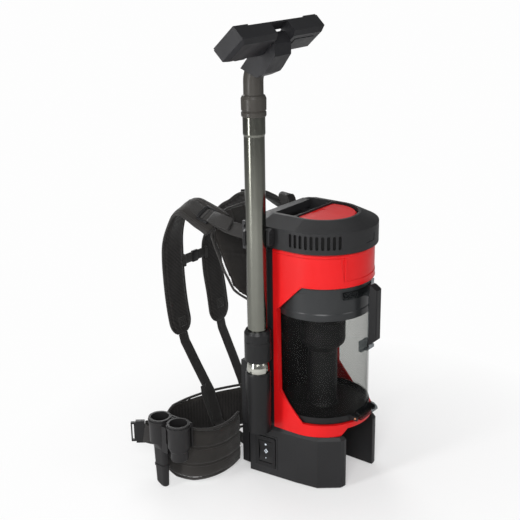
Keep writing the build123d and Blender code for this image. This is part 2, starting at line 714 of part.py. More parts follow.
@part
def nozzle_body():
    body = on_nozzle(Box(NOZZLE_LENGTH, NOZZLE_DEPTH, NOZZLE_HEIGHT))
    # chamfers of the two long upper edges, then the end bevels
    body -= nozzle_bar([(16, 15), (30, 15), (30, 6)], 150)
    body -= nozzle_bar([(-27, 15), (-19, 15), (-27, 8)], 150)
    side_view = Plane(origin=NOZZLE_CENTRE, x_dir=ALONG, z_dir=ACROSS)   # local y is down
    half = NOZZLE_LENGTH / 2
    for side in (-1, 1):
        bevel = [(side * (half + 1), -15), (side * (half - 7), -15), (side * (half + 1), -7)]
        body -= side_view.location * prism(bevel, -40, 40)
    # end skids that stand below the sole
    for side in (-1, 1):
        body += on_nozzle(Pos(side * 105, 0, -NOZZLE_HEIGHT / 2 - 1.4)
                          * Box(40, NOZZLE_DEPTH - 2, 3.0))
    # slot of the swivel, its floor and its pin bores
    body -= on_nozzle(Pos(0, 0, 14) * Box(52.8, 80, 50.4))
    body += on_nozzle(Pos(0, 0, -12.5) * Box(54, NOZZLE_DEPTH, 3.0))
    body -= nozzle_rod(SWIVEL_PIN_R + HINGE_GAP, 31)
    # suction mouth along the sole, with a chamber on each side
    body -= on_nozzle(Pos(0, 0, -12.2) * Box(214, 14, 6.0))
    for side in (-1, 1):
        body -= on_nozzle(Pos(side * 74, 0, -6.0) * Box(84, 38, 11.0))
    for row in BRISTLE_ROWS:
        body -= on_nozzle(Pos(0, row, -13.1) * Box(160, 4.2, 2.2))
    # tab on one long side, raised pad beside the swivel
    body += on_nozzle(Pos(-74, -26.5, 6) * Box(28, 9, 5))
    return body + on_nozzle(Pos(72, -4, 14.2) * Box(62, 26, 1.6))


@part
def nozzle_brush():
    return [on_nozzle(Pos(0, row, -15.1) * Box(159.6, 4.0, 6.0)) for row in BRISTLE_ROWS]


# ================================================================= harness
@part
def back_frame():
    """Pressed panel with two lower side rails, on the chassis."""
    frame = box(-88, 88, CHASSIS_Y, FRAME_Y, 92, 486)
    frame = soften(frame, frame.edges().filter_by(Axis.Y), (18.0, 10.0))
    frame -= xz_prism([(-40, 150), (40, 150), (52, 280), (-52, 280)], 90, 110)
    frame += box(-97, -86, CHASSIS_Y, 118, 90, 222) + box(86, 97, CHASSIS_Y, 118, 90, 222)
    for x, z in FRAME_SCREWS:
        frame -= y_rod(2.4, 90, 110, x, z)
    return frame


@part
def adjuster_plates():
    plates = []
    for side in (-1, 1):
        x0, x1 = sorted((side * 88.2, side * 92.2))
        plate = box(x0, x1, CHASSIS_Y, 112, 440, 492)
        for k in range(4):
            plate -= box(x0 - 1, x1 + 1, FRAME_Y, 108.5, 445 + k * 11.5, 451 + k * 11.5)
        plates.append(plate)
    return plates


@part
def belt_bracket():
    top = 89.8
    bracket = box(-97, 97, 103.2, 108, 8, top)
    bracket = (bracket
               + xz_prism([(-97, 8), (-85, 8), (-85, top), (-97, top)], 108, 118)
               + xz_prism([(85, 8), (97, 8), (97, top), (85, top)], 108, 118))
    bracket -= box(-60, 60, 100, 112, 24, 72)
    bracket += box(-80, -60, 98.2, 103.4, 78, top) + box(60, 80, 98.2, 103.4, 78, top)
    corners = bracket.edges().filter_by(Axis.Y).filter_by(
        lambda e: e.center().Z < 10 or e.center().Z > 89)
    return soften(bracket, corners, (3.0, 1.5))


# Padded yoke that leans out from the frame: (Y, Z) path and (X, Z) outline.
YOKE_PATH = [
    (103.2, 322), (118, 322), (130, 326), (149, 340), (165, 375),
    (177, 402), (190, 430), (198, 455), (200, 478), (197, 496)]
YOKE_OUTLINE = [
    (50, 300), (50, 318), (72, 345), (80, 380), (82, 455), (60, 478), (37, 492), (20, 500),
    (-20, 500), (-37, 490), (-60, 470), (-82, 445), (-80, 380), (-72, 345), (-50, 318),
    (-50, 300)]


def yoke_sheet(half):
    """Sheet of the given half thickness around the yoke path."""
    upper, lower = [], []
    last = len(YOKE_PATH) - 1
    for i, (y, z) in enumerate(YOKE_PATH):
        y0, z0 = YOKE_PATH[max(0, i - 1)]
        y1, z1 = YOKE_PATH[min(last, i + 1)]
        length = hypot(y1 - y0, z1 - z0)
        ny, nz = -(z1 - z0) / length, (y1 - y0) / length
        upper.append((y + ny * half, z + nz * half))
        lower.append((y - ny * half, z - nz * half))
    return yz_prism(upper + lower[::-1], -90, 90)


@part
def back_panel():
    return yoke_sheet(5.0) & xz_prism(YOKE_OUTLINE, 90, 230)


# Shoulder straps: (Y, Z, twist in degrees) stations, from the yoke down.
STRAP_X_LEFT, STRAP_X_RIGHT = -66.0, 58.0
STRAP_WIDTH, STRAP_THICK = 57, 12
LEFT_STATIONS = [
    (206, 470, 36), (222, 475, 32), (240, 482, 26), (262, 488, 20), (283, 477, 14),
    (297, 450, 8), (307, 420, 3), (310, 390, 0), (309, 335, 0), (303, 275, 0), (292, 220, 0)]
RIGHT_STATIONS = [
    (206, 486, 34), (218, 484, 30), (238, 472, 24), (262, 460, 18), (285, 438, 10),
    (303, 410, 4), (316, 380, 0), (316, 325, 0), (307, 270, 0), (299, 206, 0)]


def strap_frames(stations, x, side):
    """(point, tangent, width direction, outer normal) at each station."""
    frames = []
    last = len(stations) - 1
    for i, (y, z, twist) in enumerate(stations):
        y0, z0, _ = stations[max(0, i - 1)]
        y1, z1, _ = stations[min(last, i + 1)]
        tangent = Vector(0, y1 - y0, z1 - z0).normalized()
        untwisted = Vector(0, -tangent.Z, tangent.Y)
        angle = radians(twist) * side
        across = Vector(1, 0, 0) * cos(angle) + untwisted * sin(angle)
        frames.append((Vector(x, y, z), tangent, across, across.cross(tangent)))
    return frames


LEFT_FRAMES = strap_frames(LEFT_STATIONS, STRAP_X_LEFT, 1)
RIGHT_FRAMES = strap_frames(RIGHT_STATIONS, STRAP_X_RIGHT, -1)


def largest(shape):
    return max(shape.solids(), key=lambda solid: solid.volume)


def strap_loft(frames, extra=0.0):
    return loft([Plane(origin=point, x_dir=across, z_dir=tangent)
                 * Rectangle(STRAP_WIDTH + extra, STRAP_THICK + extra)
                 for point, tangent, across, _ in frames], ruled=True)


@part
def shoulder_strap_left():
    return largest(strap_loft(LEFT_FRAMES) - yoke_sheet(5.4))


@part
def shoulder_strap_right():
    return largest(strap_loft(RIGHT_FRAMES) - yoke_sheet(5.4))


def lifter_origin(frames):
    """Centre of the buckle on top of a strap."""
    return frames[0][0] * 0.45 + frames[1][0] * 0.55 + frames[1][3] * 10.4


def webbing(points, width):
    """Flat webbing through the points, its width along X."""
    points = [Vector(p) for p in points]
    last = len(points) - 1
    sections = []
    for i, point in enumerate(points):
        tangent = (points[min(last, i + 1)] - points[max(0, i - 1)]).normalized()
        across = Vector(1, 0, 0)
        across = (across - tangent * across.dot(tangent)).normalized()
        sections.append(Plane(origin=point, x_dir=across, z_dir=tangent)
                        * Rectangle(width, 1.8))
    return loft(sections, ruled=True)


@part
def harness_webbing():
    bands = []
    # load lifters from the frame top to the upper buckles
    for frames, side in ((LEFT_FRAMES, -1), (RIGHT_FRAMES, 1)):
        _, tangent, _, normal = frames[1]
        start = lifter_origin(frames) - tangent * 14.2 + normal * 2.6
        anchor = Vector(side * 78, 114, 481)
        middle = (start + anchor) * 0.5 - Vector(0, 0, 2)
        bands.append(webbing([start, middle, anchor], 24))
    # lower webbing from the strap ends
    bands.append(webbing([(STRAP_X_LEFT, 290.2, 212.5), (STRAP_X_LEFT, 225, 112),
                          (-68, 203, 52), (-72, 109.4, 30)], 25))
    bands.append(webbing([(STRAP_X_RIGHT, 297.8, 198.5), (STRAP_X_RIGHT, 239, 74),
                          (78, 178, 52)], 25))
    left, right = strap_loft(LEFT_FRAMES, 1.4), strap_loft(RIGHT_FRAMES, 1.4)
    return [largest(band - left - right) for band in bands]


def ladder_buckle(origin, x_dir, z_dir, width=34, length=26):
    """Frame with two slots."""
    slot = Box(width - 7, 4.4, 10)
    frame = Box(width, length, 4.4) - (Pos(0, 6, 0) * slot) - (Pos(0, -6, 0) * slot)
    return Plane(origin=origin, x_dir=x_dir, z_dir=z_dir).location * frame


@part
def strap_buckles():
    buckles = []
    for frames in (LEFT_FRAMES, RIGHT_FRAMES):
        _, _, across, normal = frames[1]
        buckles.append(ladder_buckle(lifter_origin(frames), across, normal))
        before, end, normal = frames[-2][0], frames[-1][0], frames[-1][3]
        low = before + (end - before) * 0.78
        buckles.append(ladder_buckle(low + normal * 9.2, (1, 0, 0), normal))
    return buckles


@part
def sternum_strap():
    return box(STRAP_X_LEFT + 29.0, STRAP_X_RIGHT - 29.0, 309, 313, 352, 374)


# ================================================================ hip belt
def belt_wall(path):
    """Upright padded wall along a smooth (X, Y) path."""
    half, z0, z1, steps = 6.5, 4, 122, 28
    middle = Spline(*[(x, y, 0) for x, y in path])
    left, right = [], []
    for i in range(steps + 1):
        point, tangent = middle @ (i / steps), middle % (i / steps)
        nx, ny = -tangent.Y, tangent.X
        left.append((point.X + nx * half, point.Y + ny * half, 0))
        right.append((point.X - nx * half, point.Y - ny * half, 0))
    edge_a, edge_b = Spline(*left), Spline(*right)
    end = Line(edge_a @ 1, edge_b @ 1)
    start = Line(edge_a @ 0, edge_b @ 0)
    face = make_face([edge_a, end, edge_b, start])
    return Pos(0, 0, z0) * extrude(face, z1 - z0, dir=(0, 0, 1))


@part
def hip_belt_left():
    path = [(-99, 127), (-128, 121), (-160, 121), (-187, 130),
            (-206, 149), (-214, 176), (-214, 206), (-205, 234)]
    outline = [  # (Y, Z)
        (100, 14), (128, 12), (150, 9), (185, 9), (215, 20), (245, 44),
        (245, 92), (225, 106), (195, 116), (160, 118), (135, 112), (100, 104)]
    return belt_wall(path) & yz_prism(outline, -260, -80)


@part
def hip_belt_right():
    path = [(99, 127), (84, 146), (52, 170), (8, 200),
            (-42, 229), (-92, 249), (-136, 257), (-168, 256)]
    outline = [  # (X, Z)
        (110, 12), (60, 10), (0, 10), (-80, 20), (-140, 34), (-175, 48),
        (-175, 90), (-140, 102), (-60, 106), (60, 106), (110, 104)]
    return belt_wall(path) & xz_prism(outline, 90, 290)


@part
def belt_webbing():
    """Straight webbing from both wing ends to the buckle, width upright."""
    bands = []
    for start, end in (((-205, 236.5, 70), (-218.5, 262.5, 74)),
                       ((-170.5, 256.2, 70), (-206.5, 271.5, 73))):
        span = Vector(*end) - Vector(*start)
        tangent = span.normalized()
        upright = Vector(0, 0, 1)
        upright = (upright - tangent * upright.dot(tangent)).normalized()
        plane = Plane(origin=start, x_dir=upright, z_dir=tangent)
        bands.append(extrude(plane * Rectangle(38, 2.0), span.length))
    return bands


@part
def belt_buckle():
    buckle = Box(17, 46, 7.5)
    buckle = buckle + Pos(12, 0, 0) * Box(12, 40, 5.5)
    buckle = buckle - Pos(14, 0, 0) * Box(3.6, 33, 12)
    plane = Plane(origin=(-218, 272, 75), x_dir=(-0.62, 0.78, 0), z_dir=(-0.78, -0.62, 0))
    return plane.location * buckle


# ============================================================== hand tools
CREVICE_AXIS = (-246.5, 190.0)   # (X, Y)
BRUSH_AXIS = (-246.5, 145.0)
TOOL_AXES = (CREVICE_AXIS, BRUSH_AXIS)
CUP_BORE_R = 18.0
TOOL_R = 17.94
COLLAR_R = 20.8          # tool collar, resting above the cup rim
COLLAR_Z = (141.02, 145)


@part
def tool_holder():
    """Two cups joined by a web, on a plate at the left hip wing."""
    holder = box(-226.6, -222.6, 132, 206, 92, 140)
    for axis in TOOL_AXES:
        holder = holder + cyl(20.6, 98, 141, *axis) + ring(22.0, CUP_BORE_R, 135.5, 141, *axis)
    holder = holder + box(-240, -223, 160, 176, 100, 139) + box(-262, -226, 162, 173, 104, 136)
    for axis in TOOL_AXES:
        holder -= cyl(CUP_BORE_R, 90, 150, *axis)
    # strap clip under the web between the cups
    holder += box(-262, -252, 160, 174, 84, 104)
    for axis in TOOL_AXES:
        holder -= cyl(CUP_BORE_R, 80, 150, *axis)
    return holder


def snout(sections):
    """Ruled loft on the crevice tool axis: (z, width, depth, corner radius)."""
    return loft([Plane(origin=(*CREVICE_AXIS, z)) * RectangleRounded(width, depth, radius)
                 for z, width, depth, radius in sections], ruled=True)


@part
def crevice_tool():
    """Round socket and a flat tapered snout cut off at a slant."""
    tool = cyl(TOOL_R, 97, COLLAR_Z[0], *CREVICE_AXIS) + cyl(COLLAR_R, *COLLAR_Z, *CREVICE_AXIS)
    tool = tool + snout([(97.2, 30, 30, 14.0), (82, 18, 30, 8.0), (3.5, 15, 23, 6.5)])
    tool = tool + snout([(48, 19.5, 28.6, 8), (45, 19.5, 28.6, 8)])
    tool = tool - cyl(15, 104, 126, *CREVICE_AXIS) - cyl(16.6, 126, 150, *CREVICE_AXIS)
    tool = tool - snout([(104.5, 22, 22, 10.5), (84, 12, 22, 5.5), (2.0, 9.5, 17.5, 4)])
    slant = [(160, 0), (215, 0), (215, 22), (188, 6), (176, 3.2), (160, 3.2)]
    return tool - yz_prism(slant, -300, -200)


@part
def brush_tool():
    bore = 16.5
    tool = (cyl(TOOL_R, 92, 141.0, *BRUSH_AXIS) + ring(COLLAR_R, bore, *COLLAR_Z, *BRUSH_AXIS)
            + ring(TOOL_R, bore, 138, 142, *BRUSH_AXIS))
    tool = tool + spin([(0, 92.5), (TOOL_R, 92.5), (16.4, 90), (16.4, 74), (15.4, 72.5),
                        (0, 72.5)], *BRUSH_AXIS)
    return tool - cyl(14.6, 60, 126, *BRUSH_AXIS) - cyl(bore, 126, 150, *BRUSH_AXIS)


# ========================================================== wiring, screws
@part
def wiring_loom():
    return cyl(3.0, 86, 446, *LOOM)


@part
def frame_screws():
    screws = []
    for x, z in FRAME_SCREWS:
        screw = y_rod(2.0, 92, 103.4, x, z) + y_rod(4.2, 103.05, 106, x, z)
        screws.append(screw - y_rod(1.5, 104.8, 107, x, z))
    return screws


# ================================================================== export
for name, build in PARTS.items():
    built = build()
    pieces = built if isinstance(built, list) else [built]
    solids = [solid for piece in pieces for solid in piece.solids()]
    node = Compound(children=solids) if len(solids) > 1 else solids[0]
    node.label = name
    export_step(node, "parts/%s.step" % name)
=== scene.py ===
"""Backpack vacuum cleaner with a padded harness.

The machine stands on z = 0 with its round housing about the z axis and the bin opening
towards -y. The harness is on the +y side: the wearer stands between the yoke (y about 190)
and the shoulder straps (y about 310). The floor nozzle hangs on the wand at -x.
New meshes are laid out in millimetres and scaled to metres when they are made.
"""
import bpy
import math
import numpy as np
from mathutils import Vector, Matrix, noise

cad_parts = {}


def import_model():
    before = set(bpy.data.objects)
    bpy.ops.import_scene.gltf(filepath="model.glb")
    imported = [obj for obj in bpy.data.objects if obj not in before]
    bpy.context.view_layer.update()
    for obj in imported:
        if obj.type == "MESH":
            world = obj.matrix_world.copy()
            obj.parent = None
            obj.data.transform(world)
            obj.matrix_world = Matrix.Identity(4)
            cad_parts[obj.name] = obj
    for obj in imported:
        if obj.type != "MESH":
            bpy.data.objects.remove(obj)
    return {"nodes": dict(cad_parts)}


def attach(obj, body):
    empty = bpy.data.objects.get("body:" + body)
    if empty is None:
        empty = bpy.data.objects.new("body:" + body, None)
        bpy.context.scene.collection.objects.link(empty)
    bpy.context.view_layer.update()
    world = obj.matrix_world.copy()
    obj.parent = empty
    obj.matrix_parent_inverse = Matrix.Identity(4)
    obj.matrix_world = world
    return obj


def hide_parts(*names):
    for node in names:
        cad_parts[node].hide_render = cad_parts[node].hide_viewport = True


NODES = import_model()["nodes"]


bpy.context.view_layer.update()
MM = 0.001
X_AXIS = np.array([1.0, 0, 0])
Y_AXIS = np.array([0, 1.0, 0])
Z_AXIS = np.array([0, 0, 1.0])

# ------------------------------------------------------------------ shader tools
MATERIALS = {}


class Shader:
    """A node tree with short ways to add and wire nodes."""

    def __init__(self, tree):
        self.tree = tree

    def fill(self, node, inputs):
        """Set inputs by name or index: link a socket, or store a number or colour."""
        for key, value in inputs.items():
            socket = node.inputs[key]
            if isinstance(value, bpy.types.NodeSocket):
                self.tree.links.new(value, socket)
            elif socket.type == "RGBA":
                socket.default_value = (*value, 1)
            else:
                socket.default_value = value

    def add(self, kind, inputs=None, **settings):
        node = self.tree.nodes.new("ShaderNode" + kind)
        for key, value in settings.items():
            setattr(node, key, value)
        self.fill(node, inputs or {})
        return node

    def principled(self, inputs):
        self.fill(self.tree.nodes["Principled BSDF"], inputs)

    def coords(self, kind="Object"):
        return self.add("TexCoord").outputs[kind]

    def noise(self, place, scale, detail):
        inputs = {"Scale": scale, "Detail": detail, "Vector": place}
        return self.add("TexNoise", inputs).outputs["Fac"]

    def wave(self, place, scale, axis="X", turn=0.0):
        mapping = self.add("Mapping", {"Rotation": (0, 0, turn), "Vector": place})
        inputs = {"Scale": scale, "Vector": mapping.outputs[0]}
        return self.add("TexWave", inputs, bands_direction=axis).outputs["Fac"]

    def remap(self, value, low, high, to=(0, 1)):
        return self.add("MapRange", dict(enumerate((value, low, high, *to)))).outputs[0]

    def math(self, operation, first, second):
        return self.add("Math", {0: first, 1: second}, operation=operation).outputs[0]

    def mix_colour(self, factor, first, second):
        return self.add("Mix", {0: factor, 6: first, 7: second}, data_type="RGBA").outputs[2]

    def mix_shader(self, factor, first, second):
        return self.add("MixShader", {0: factor, 1: first, 2: second}).outputs[0]

    def bump(self, height, strength, distance, extra=None):
        inputs = {"Strength": strength, "Distance": distance, "Height": height, **(extra or {})}
        return self.add("Bump", inputs).outputs[0]

    def seen_directly(self):
        """1 for camera and transmission rays, else 0."""
        path = self.add("LightPath").outputs
        return self.math("MAXIMUM", path["Is Camera Ray"], path["Is Transmission Ray"])


def material_shader(name):
    material = bpy.data.materials.new(name)
    material.use_nodes = True
    MATERIALS[name] = material
    return Shader(material.node_tree)


def scaled(colour, gain, lift=0.0):
    return tuple(min(1, c * gain + lift) for c in colour)


# ------------------------------------------------------------------ materials


def plastic(name, colour, rough, grain, relief, edge, edge_highlight_gain, spec=0.5, coat=0.0, vary=0.10):
    """Grained plastic with softened edges; the base colour is painted lighter along the edges
    as a painted highlight.
    """
    sh = material_shader(name)
    place = sh.coords()
    patches = sh.noise(place, scale=9.0, detail=4.0)
    fine = sh.noise(place, scale=grain, detail=2.0)
    tone = sh.mix_colour(sh.remap(patches, 0.35, 0.65),
                         scaled(colour, 1 - vary), scaled(colour, 1 + vary))
    # painted highlight: base colour lighter near edges, found from the rounded normal against
    # the true normal
    bevel = sh.add("Bevel", {"Radius": edge}, samples=3).outputs[0]
    normal = sh.add("NewGeometry").outputs["Normal"]
    match = sh.add("VectorMath", {0: bevel, 1: normal}, operation="DOT_PRODUCT")
    edges = sh.remap(sh.math("SUBTRACT", 1.0, match.outputs["Value"]), 0.02, 0.25)
    broken = sh.remap(sh.noise(place, scale=160.0, detail=3.0), 0.4, 0.6, to=(0.25, 0.9))
    painted_edge_highlight = sh.math("MULTIPLY", edges, broken)
    smears = sh.remap(sh.noise(place, scale=38.0, detail=5.0), 0.3, 0.7,
                      to=(rough - 0.05, rough + 0.06))
    # base colour painted lighter on the edges as a painted highlight; roughness also rises
    # there
    sh.principled({
        "Base Color": sh.mix_colour(painted_edge_highlight, tone, scaled(colour, edge_highlight_gain, lift=0.004)),
        "Roughness": sh.math("ADD", smears, sh.math("MULTIPLY", painted_edge_highlight, 0.08)),
        "Specular IOR Level": spec * 0.5,
        "Coat Weight": coat,
        "Coat Roughness": 0.12,
        "Normal": sh.bump(fine, strength=relief, distance=0.0004, extra={"Normal": bevel})})
    return sh


def colour_beyond_y(sh, y, colour):
    """Paint everything past y (metres) in another colour."""
    base = sh.tree.nodes["Principled BSDF"].inputs["Base Color"].links[0].from_socket
    split = sh.add("SeparateXYZ", {0: sh.coords()})
    beyond = sh.remap(split.outputs["Y"], y, y + 0.0004)
    sh.principled({"Base Color": sh.mix_colour(beyond, base, colour)})


def fabric(name, colour, pitch, uv, kind, rough, sheen, relief, lift):
    """Cloth with threads pitch millimetres apart, laid in UV or object space."""
    sh = material_shader(name)
    coords = sh.add("TexCoord").outputs
    solid = coords["Object"]
    place = coords["UV"] if uv else solid
    scale = 0.314 / (pitch * MM)          # wave texture: one band per pitch
    if kind == "weave":
        warp = sh.wave(place, scale)
        weft = sh.wave(place, scale, axis="Y" if uv else "Z")
        over = sh.math("MULTIPLY", warp, weft)
        under = sh.math("MULTIPLY", sh.math("SUBTRACT", 1.0, warp),
                        sh.math("SUBTRACT", 1.0, weft))
        height = sh.math("MAXIMUM", over, under)
    elif kind == "webbing":
        ribs = sh.wave(place, scale)
        rows = sh.wave(place, scale * 0.62, axis="Y")
        height = sh.math("ADD", sh.math("MULTIPLY", ribs, 0.7), sh.math("MULTIPLY", rows, 0.3))
    else:                              # spacer mesh: diagonal ribs with open cells between
        ribs = sh.wave(place, scale * 0.30, turn=0.785)
        cells = sh.add("TexVoronoi", {"Scale": 1.0 / (pitch * 1.5 * MM), "Vector": place})
        height = sh.math("ADD", sh.math("MULTIPLY", ribs, 0.55),
                         sh.math("MULTIPLY", cells.outputs["Distance"], 0.6))
    fuzz = sh.noise(solid, scale=2600.0, detail=2.0)
    fuzzy = sh.math("ADD", height, sh.math("MULTIPLY", fuzz, 0.35))
    dark = tuple(c * 0.45 for c in colour)
    threads = sh.mix_colour(sh.remap(height, 0.15, 0.85), dark, scaled(colour, lift))
    fade = sh.remap(sh.noise(solid, scale=22.0, detail=4.0), 0.35, 0.7, to=(0, 0.5))
    sh.principled({
        "Base Color": sh.mix_colour(fade, threads, scaled(colour, 1.6, lift=0.004)),
        "Roughness": rough,
        "Specular IOR Level": 0.3,
        "Sheen Weight": sheen,
        "Sheen Roughness": 0.45,
        "Normal": sh.bump(fuzzy, strength=relief, distance=0.0005)})


def metal(name, colour, rough, streak=0.06):
    """Metal with its roughness streaked along z."""
    sh = material_shader(name)
    place = sh.coords()
    stretched = sh.add("Mapping", {"Scale": (1, 1, 0.02), "Vector": place}).outputs[0]
    streaks = sh.noise(stretched, scale=900.0, detail=3.0)
    patches = sh.remap(sh.noise(place, scale=14.0, detail=4.0), 0.3, 0.7)
    sh.principled({
        "Base Color": sh.mix_colour(patches, scaled(colour, 0.93), scaled(colour, 1.05)),
        "Metallic": 1.0,
        "Roughness": sh.remap(streaks, 0.3, 0.7, to=(rough - streak, rough + streak)),
        "Normal": sh.bump(streaks, strength=0.05, distance=0.0002)})


def clear(name, tint, gloss, haze, film):
    """Thin clear plastic: tinted see-through film under a fresnel sheen."""
    sh = material_shader(name)
    smears = sh.noise(sh.coords(), scale=60.0, detail=5.0)
    sh.principled({"Base Color": film,
                   "Roughness": sh.remap(smears, 0.35, 0.75, to=(0.05, 0.15))})
    through = sh.add("BsdfTransparent", {"Color": tint}).outputs[0]
    fresnel = sh.add("Fresnel", {"IOR": 1.42}).outputs[0]
    front = sh.math("SUBTRACT", 1.0, sh.add("NewGeometry").outputs["Backfacing"])
    sheen = sh.math("MULTIPLY", sh.math("MULTIPLY", fresnel, gloss), front)
    nodes = sh.tree.nodes
    surface = sh.mix_shader(sh.math("ADD", sheen, haze), through,
                            nodes["Principled BSDF"].outputs[0])
    sh.fill(nodes["Material Output"], {"Surface": surface})


def domed_tube(name, dull, bright):
    """Satin tube metal, brighter in a band of z from 0.224 to 0.250 m."""
    sh = material_shader(name)
    z = sh.add("SeparateXYZ", {0: sh.coords()}).outputs["Z"]
    dome = sh.math("MULTIPLY", sh.remap(z, 0.2235, 0.2245),
                   sh.remap(z, 0.2495, 0.2505, to=(1, 0)))
    sh.principled({"Base Color": sh.mix_colour(dome, dull, bright),
                   "Roughness": sh.remap(dome, 0, 1, to=(0.22, 0.16)),
                   "Metallic": 1.0})


# name, colour, roughness, grain scale, grain relief, rounded edge radius (m), gain of the
# painted edge highlight,
# then as needed: specular, clear coat, colour variation
RED_FINISH = ((0.56, 0.006, 0.007), 0.34, 1300, 0.05, 0.0009, 1.12, 0.42, 0.04, 0.05)
PLASTICS = (
    ("red_plastic", *RED_FINISH),
    ("charcoal_plastic", (0.0160, 0.0160, 0.0168), 0.46, 1000, 0.16, 0.0009, 1.8, 0.40),
    ("black_plastic", (0.009, 0.009, 0.0095), 0.38, 1200, 0.10, 0.0006, 2.0, 0.42),
    ("nozzle_plastic", (0.0125, 0.0125, 0.0140), 0.44, 1000, 0.14, 0.0008, 2.0, 0.42),
    ("neck_plastic", (0.040, 0.037, 0.033), 0.36, 1000, 0.06, 0.0006, 1.5, 0.45),
    ("lid_plastic", (0.018, 0.019, 0.020), 0.33, 1300, 0.04, 0.0005, 1.7, 0.45, 0.12),
    ("tool_plastic", (0.014, 0.0135, 0.014), 0.40, 1000, 0.10, 0.0005, 1.9, 0.42),
    ("rubber", (0.009, 0.009, 0.009), 0.75, 700, 0.20, 0.0004, 1.5, 0.25),
    ("buckle_plastic", (0.010, 0.010, 0.0105), 0.35, 1000, 0.08, 0.0005, 2.3, 0.45),
    ("adjuster_plastic", (0.034, 0.034, 0.036), 0.42, 1000, 0.08, 0.0005, 1.7, 0.42),
    ("board_green", (0.02, 0.13, 0.04), 0.4, 400, 0.1, 0.0003, 1.2),
    ("icon_white", (0.62, 0.68, 0.74), 0.5, 800, 0.03, 0.0002, 1.0),
    ("wire_sleeve", (0.020, 0.010, 0.010), 0.5, 600, 0.2, 0.0004, 1.5),
)
for row in PLASTICS:
    plastic(*row)
colour_beyond_y(plastic("red_shell_plastic", *RED_FINISH), 0.0435, (0.012, 0.012, 0.013))

CLOTH = (0.0150, 0.0132, 0.0118)
LINING = (0.0095, 0.0085, 0.008)
# name, colour, thread pitch (mm), in UV space, kind, roughness, sheen, relief,
# gain of the raised threads
FABRICS = (
    ("filter_media", (0.62, 0.60, 0.54), 1.2, False, "weave", 0.9, 0.1, 0.3, 1.2),
    ("harness_fabric", CLOTH, 1.0, True, "weave", 0.88, 0.15, 0.35, 1.7),
    ("harness_fabric_pad", CLOTH, 1.0, False, "weave", 0.88, 0.15, 0.35, 1.7),
    ("lining_mesh", LINING, 1.8, True, "mesh", 0.92, 0.15, 0.7, 2.0),
    ("lining_mesh_pad", LINING, 1.8, False, "mesh", 0.92, 0.15, 0.7, 2.0),
    ("binding_tape", (0.017, 0.0155, 0.0145), 0.9, True, "webbing", 0.75, 0.15, 0.4, 1.7),
    ("webbing", (0.0145, 0.0135, 0.0128), 1.3, True, "webbing", 0.72, 0.15, 0.5, 1.7),
    ("thread", (0.028, 0.026, 0.024), 0.5, False, "weave", 0.7, 0.2, 0.2, 1.7),
)
for row in FABRICS:
    fabric(*row)

TUBE_COLOUR = (0.165, 0.167, 0.146)
metal("tube_satin", TUBE_COLOUR, rough=0.19, streak=0.04)
metal("plated_steel", (0.55, 0.55, 0.54), rough=0.30)
metal("copper_pin", (0.72, 0.33, 0.18), rough=0.28)
metal("fan_aluminium", (0.75, 0.75, 0.76), rough=0.32)
metal("laminations", (0.28, 0.28, 0.29), rough=0.45)
clear("clear_bin", tint=(0.80, 0.803, 0.795), gloss=0.8, haze=0.02, film=(0.05, 0.05, 0.05))
clear("smoky_bracket", tint=(0.50, 0.52, 0.53), gloss=0.9, haze=0.10,
      film=(0.03, 0.033, 0.034))
domed_tube("tube_dome", dull=TUBE_COLOUR, bright=(0.42, 0.42, 0.38))

# material of each CAD piece
CAD_PIECES = {
    "charcoal_plastic": "base_housing battery_dock intake_port chassis_spine "
                        "motor_head_cover wand_clip back_frame belt_bracket cyclone_tube",
    "black_plastic": "switch_bezel power_rocker wand_cup bin_handle cyclone_screen "
                     "bin_door wand_collar",
    "rubber": "foot_pads inlet_seal motor_gasket lid_gasket door_gasket",
    "red_shell_plastic": "canister_housing",
    "red_plastic": "exhaust_cover",
    "adjuster_plastic": "adjuster_plates",
    "buckle_plastic": "strap_buckles belt_buckle",
    "tool_plastic": "tool_holder crevice_tool brush_tool",
    "lid_plastic": "bin_lid",
    "neck_plastic": "nozzle_neck",
    "nozzle_plastic": "nozzle_swivel nozzle_body",
    "board_green": "control_board",
    "wire_sleeve": "wiring_loom",
    "filter_media": "exhaust_filter pre_filter",
    "laminations": "motor_can motor_stator rotor_core",
    "plated_steel": "motor_bearings frame_screws rotor_shaft",
    "copper_pin": "dock_terminals latch_pin",
    "fan_aluminium": "impeller",
    "clear_bin": "bin_canister",
    "smoky_bracket": "handle_bracket door_latch",
    "tube_dome": "wand_inner_tube",
    "tube_satin": "wand_outer_tube",
}
for material_name, pieces in CAD_PIECES.items():
    for piece in pieces.split():
        if piece in NODES:
            slots = NODES[piece].data.materials
            slots.clear()
            slots.append(MATERIALS[material_name])

# ------------------------------------------------------------------ mesh tools


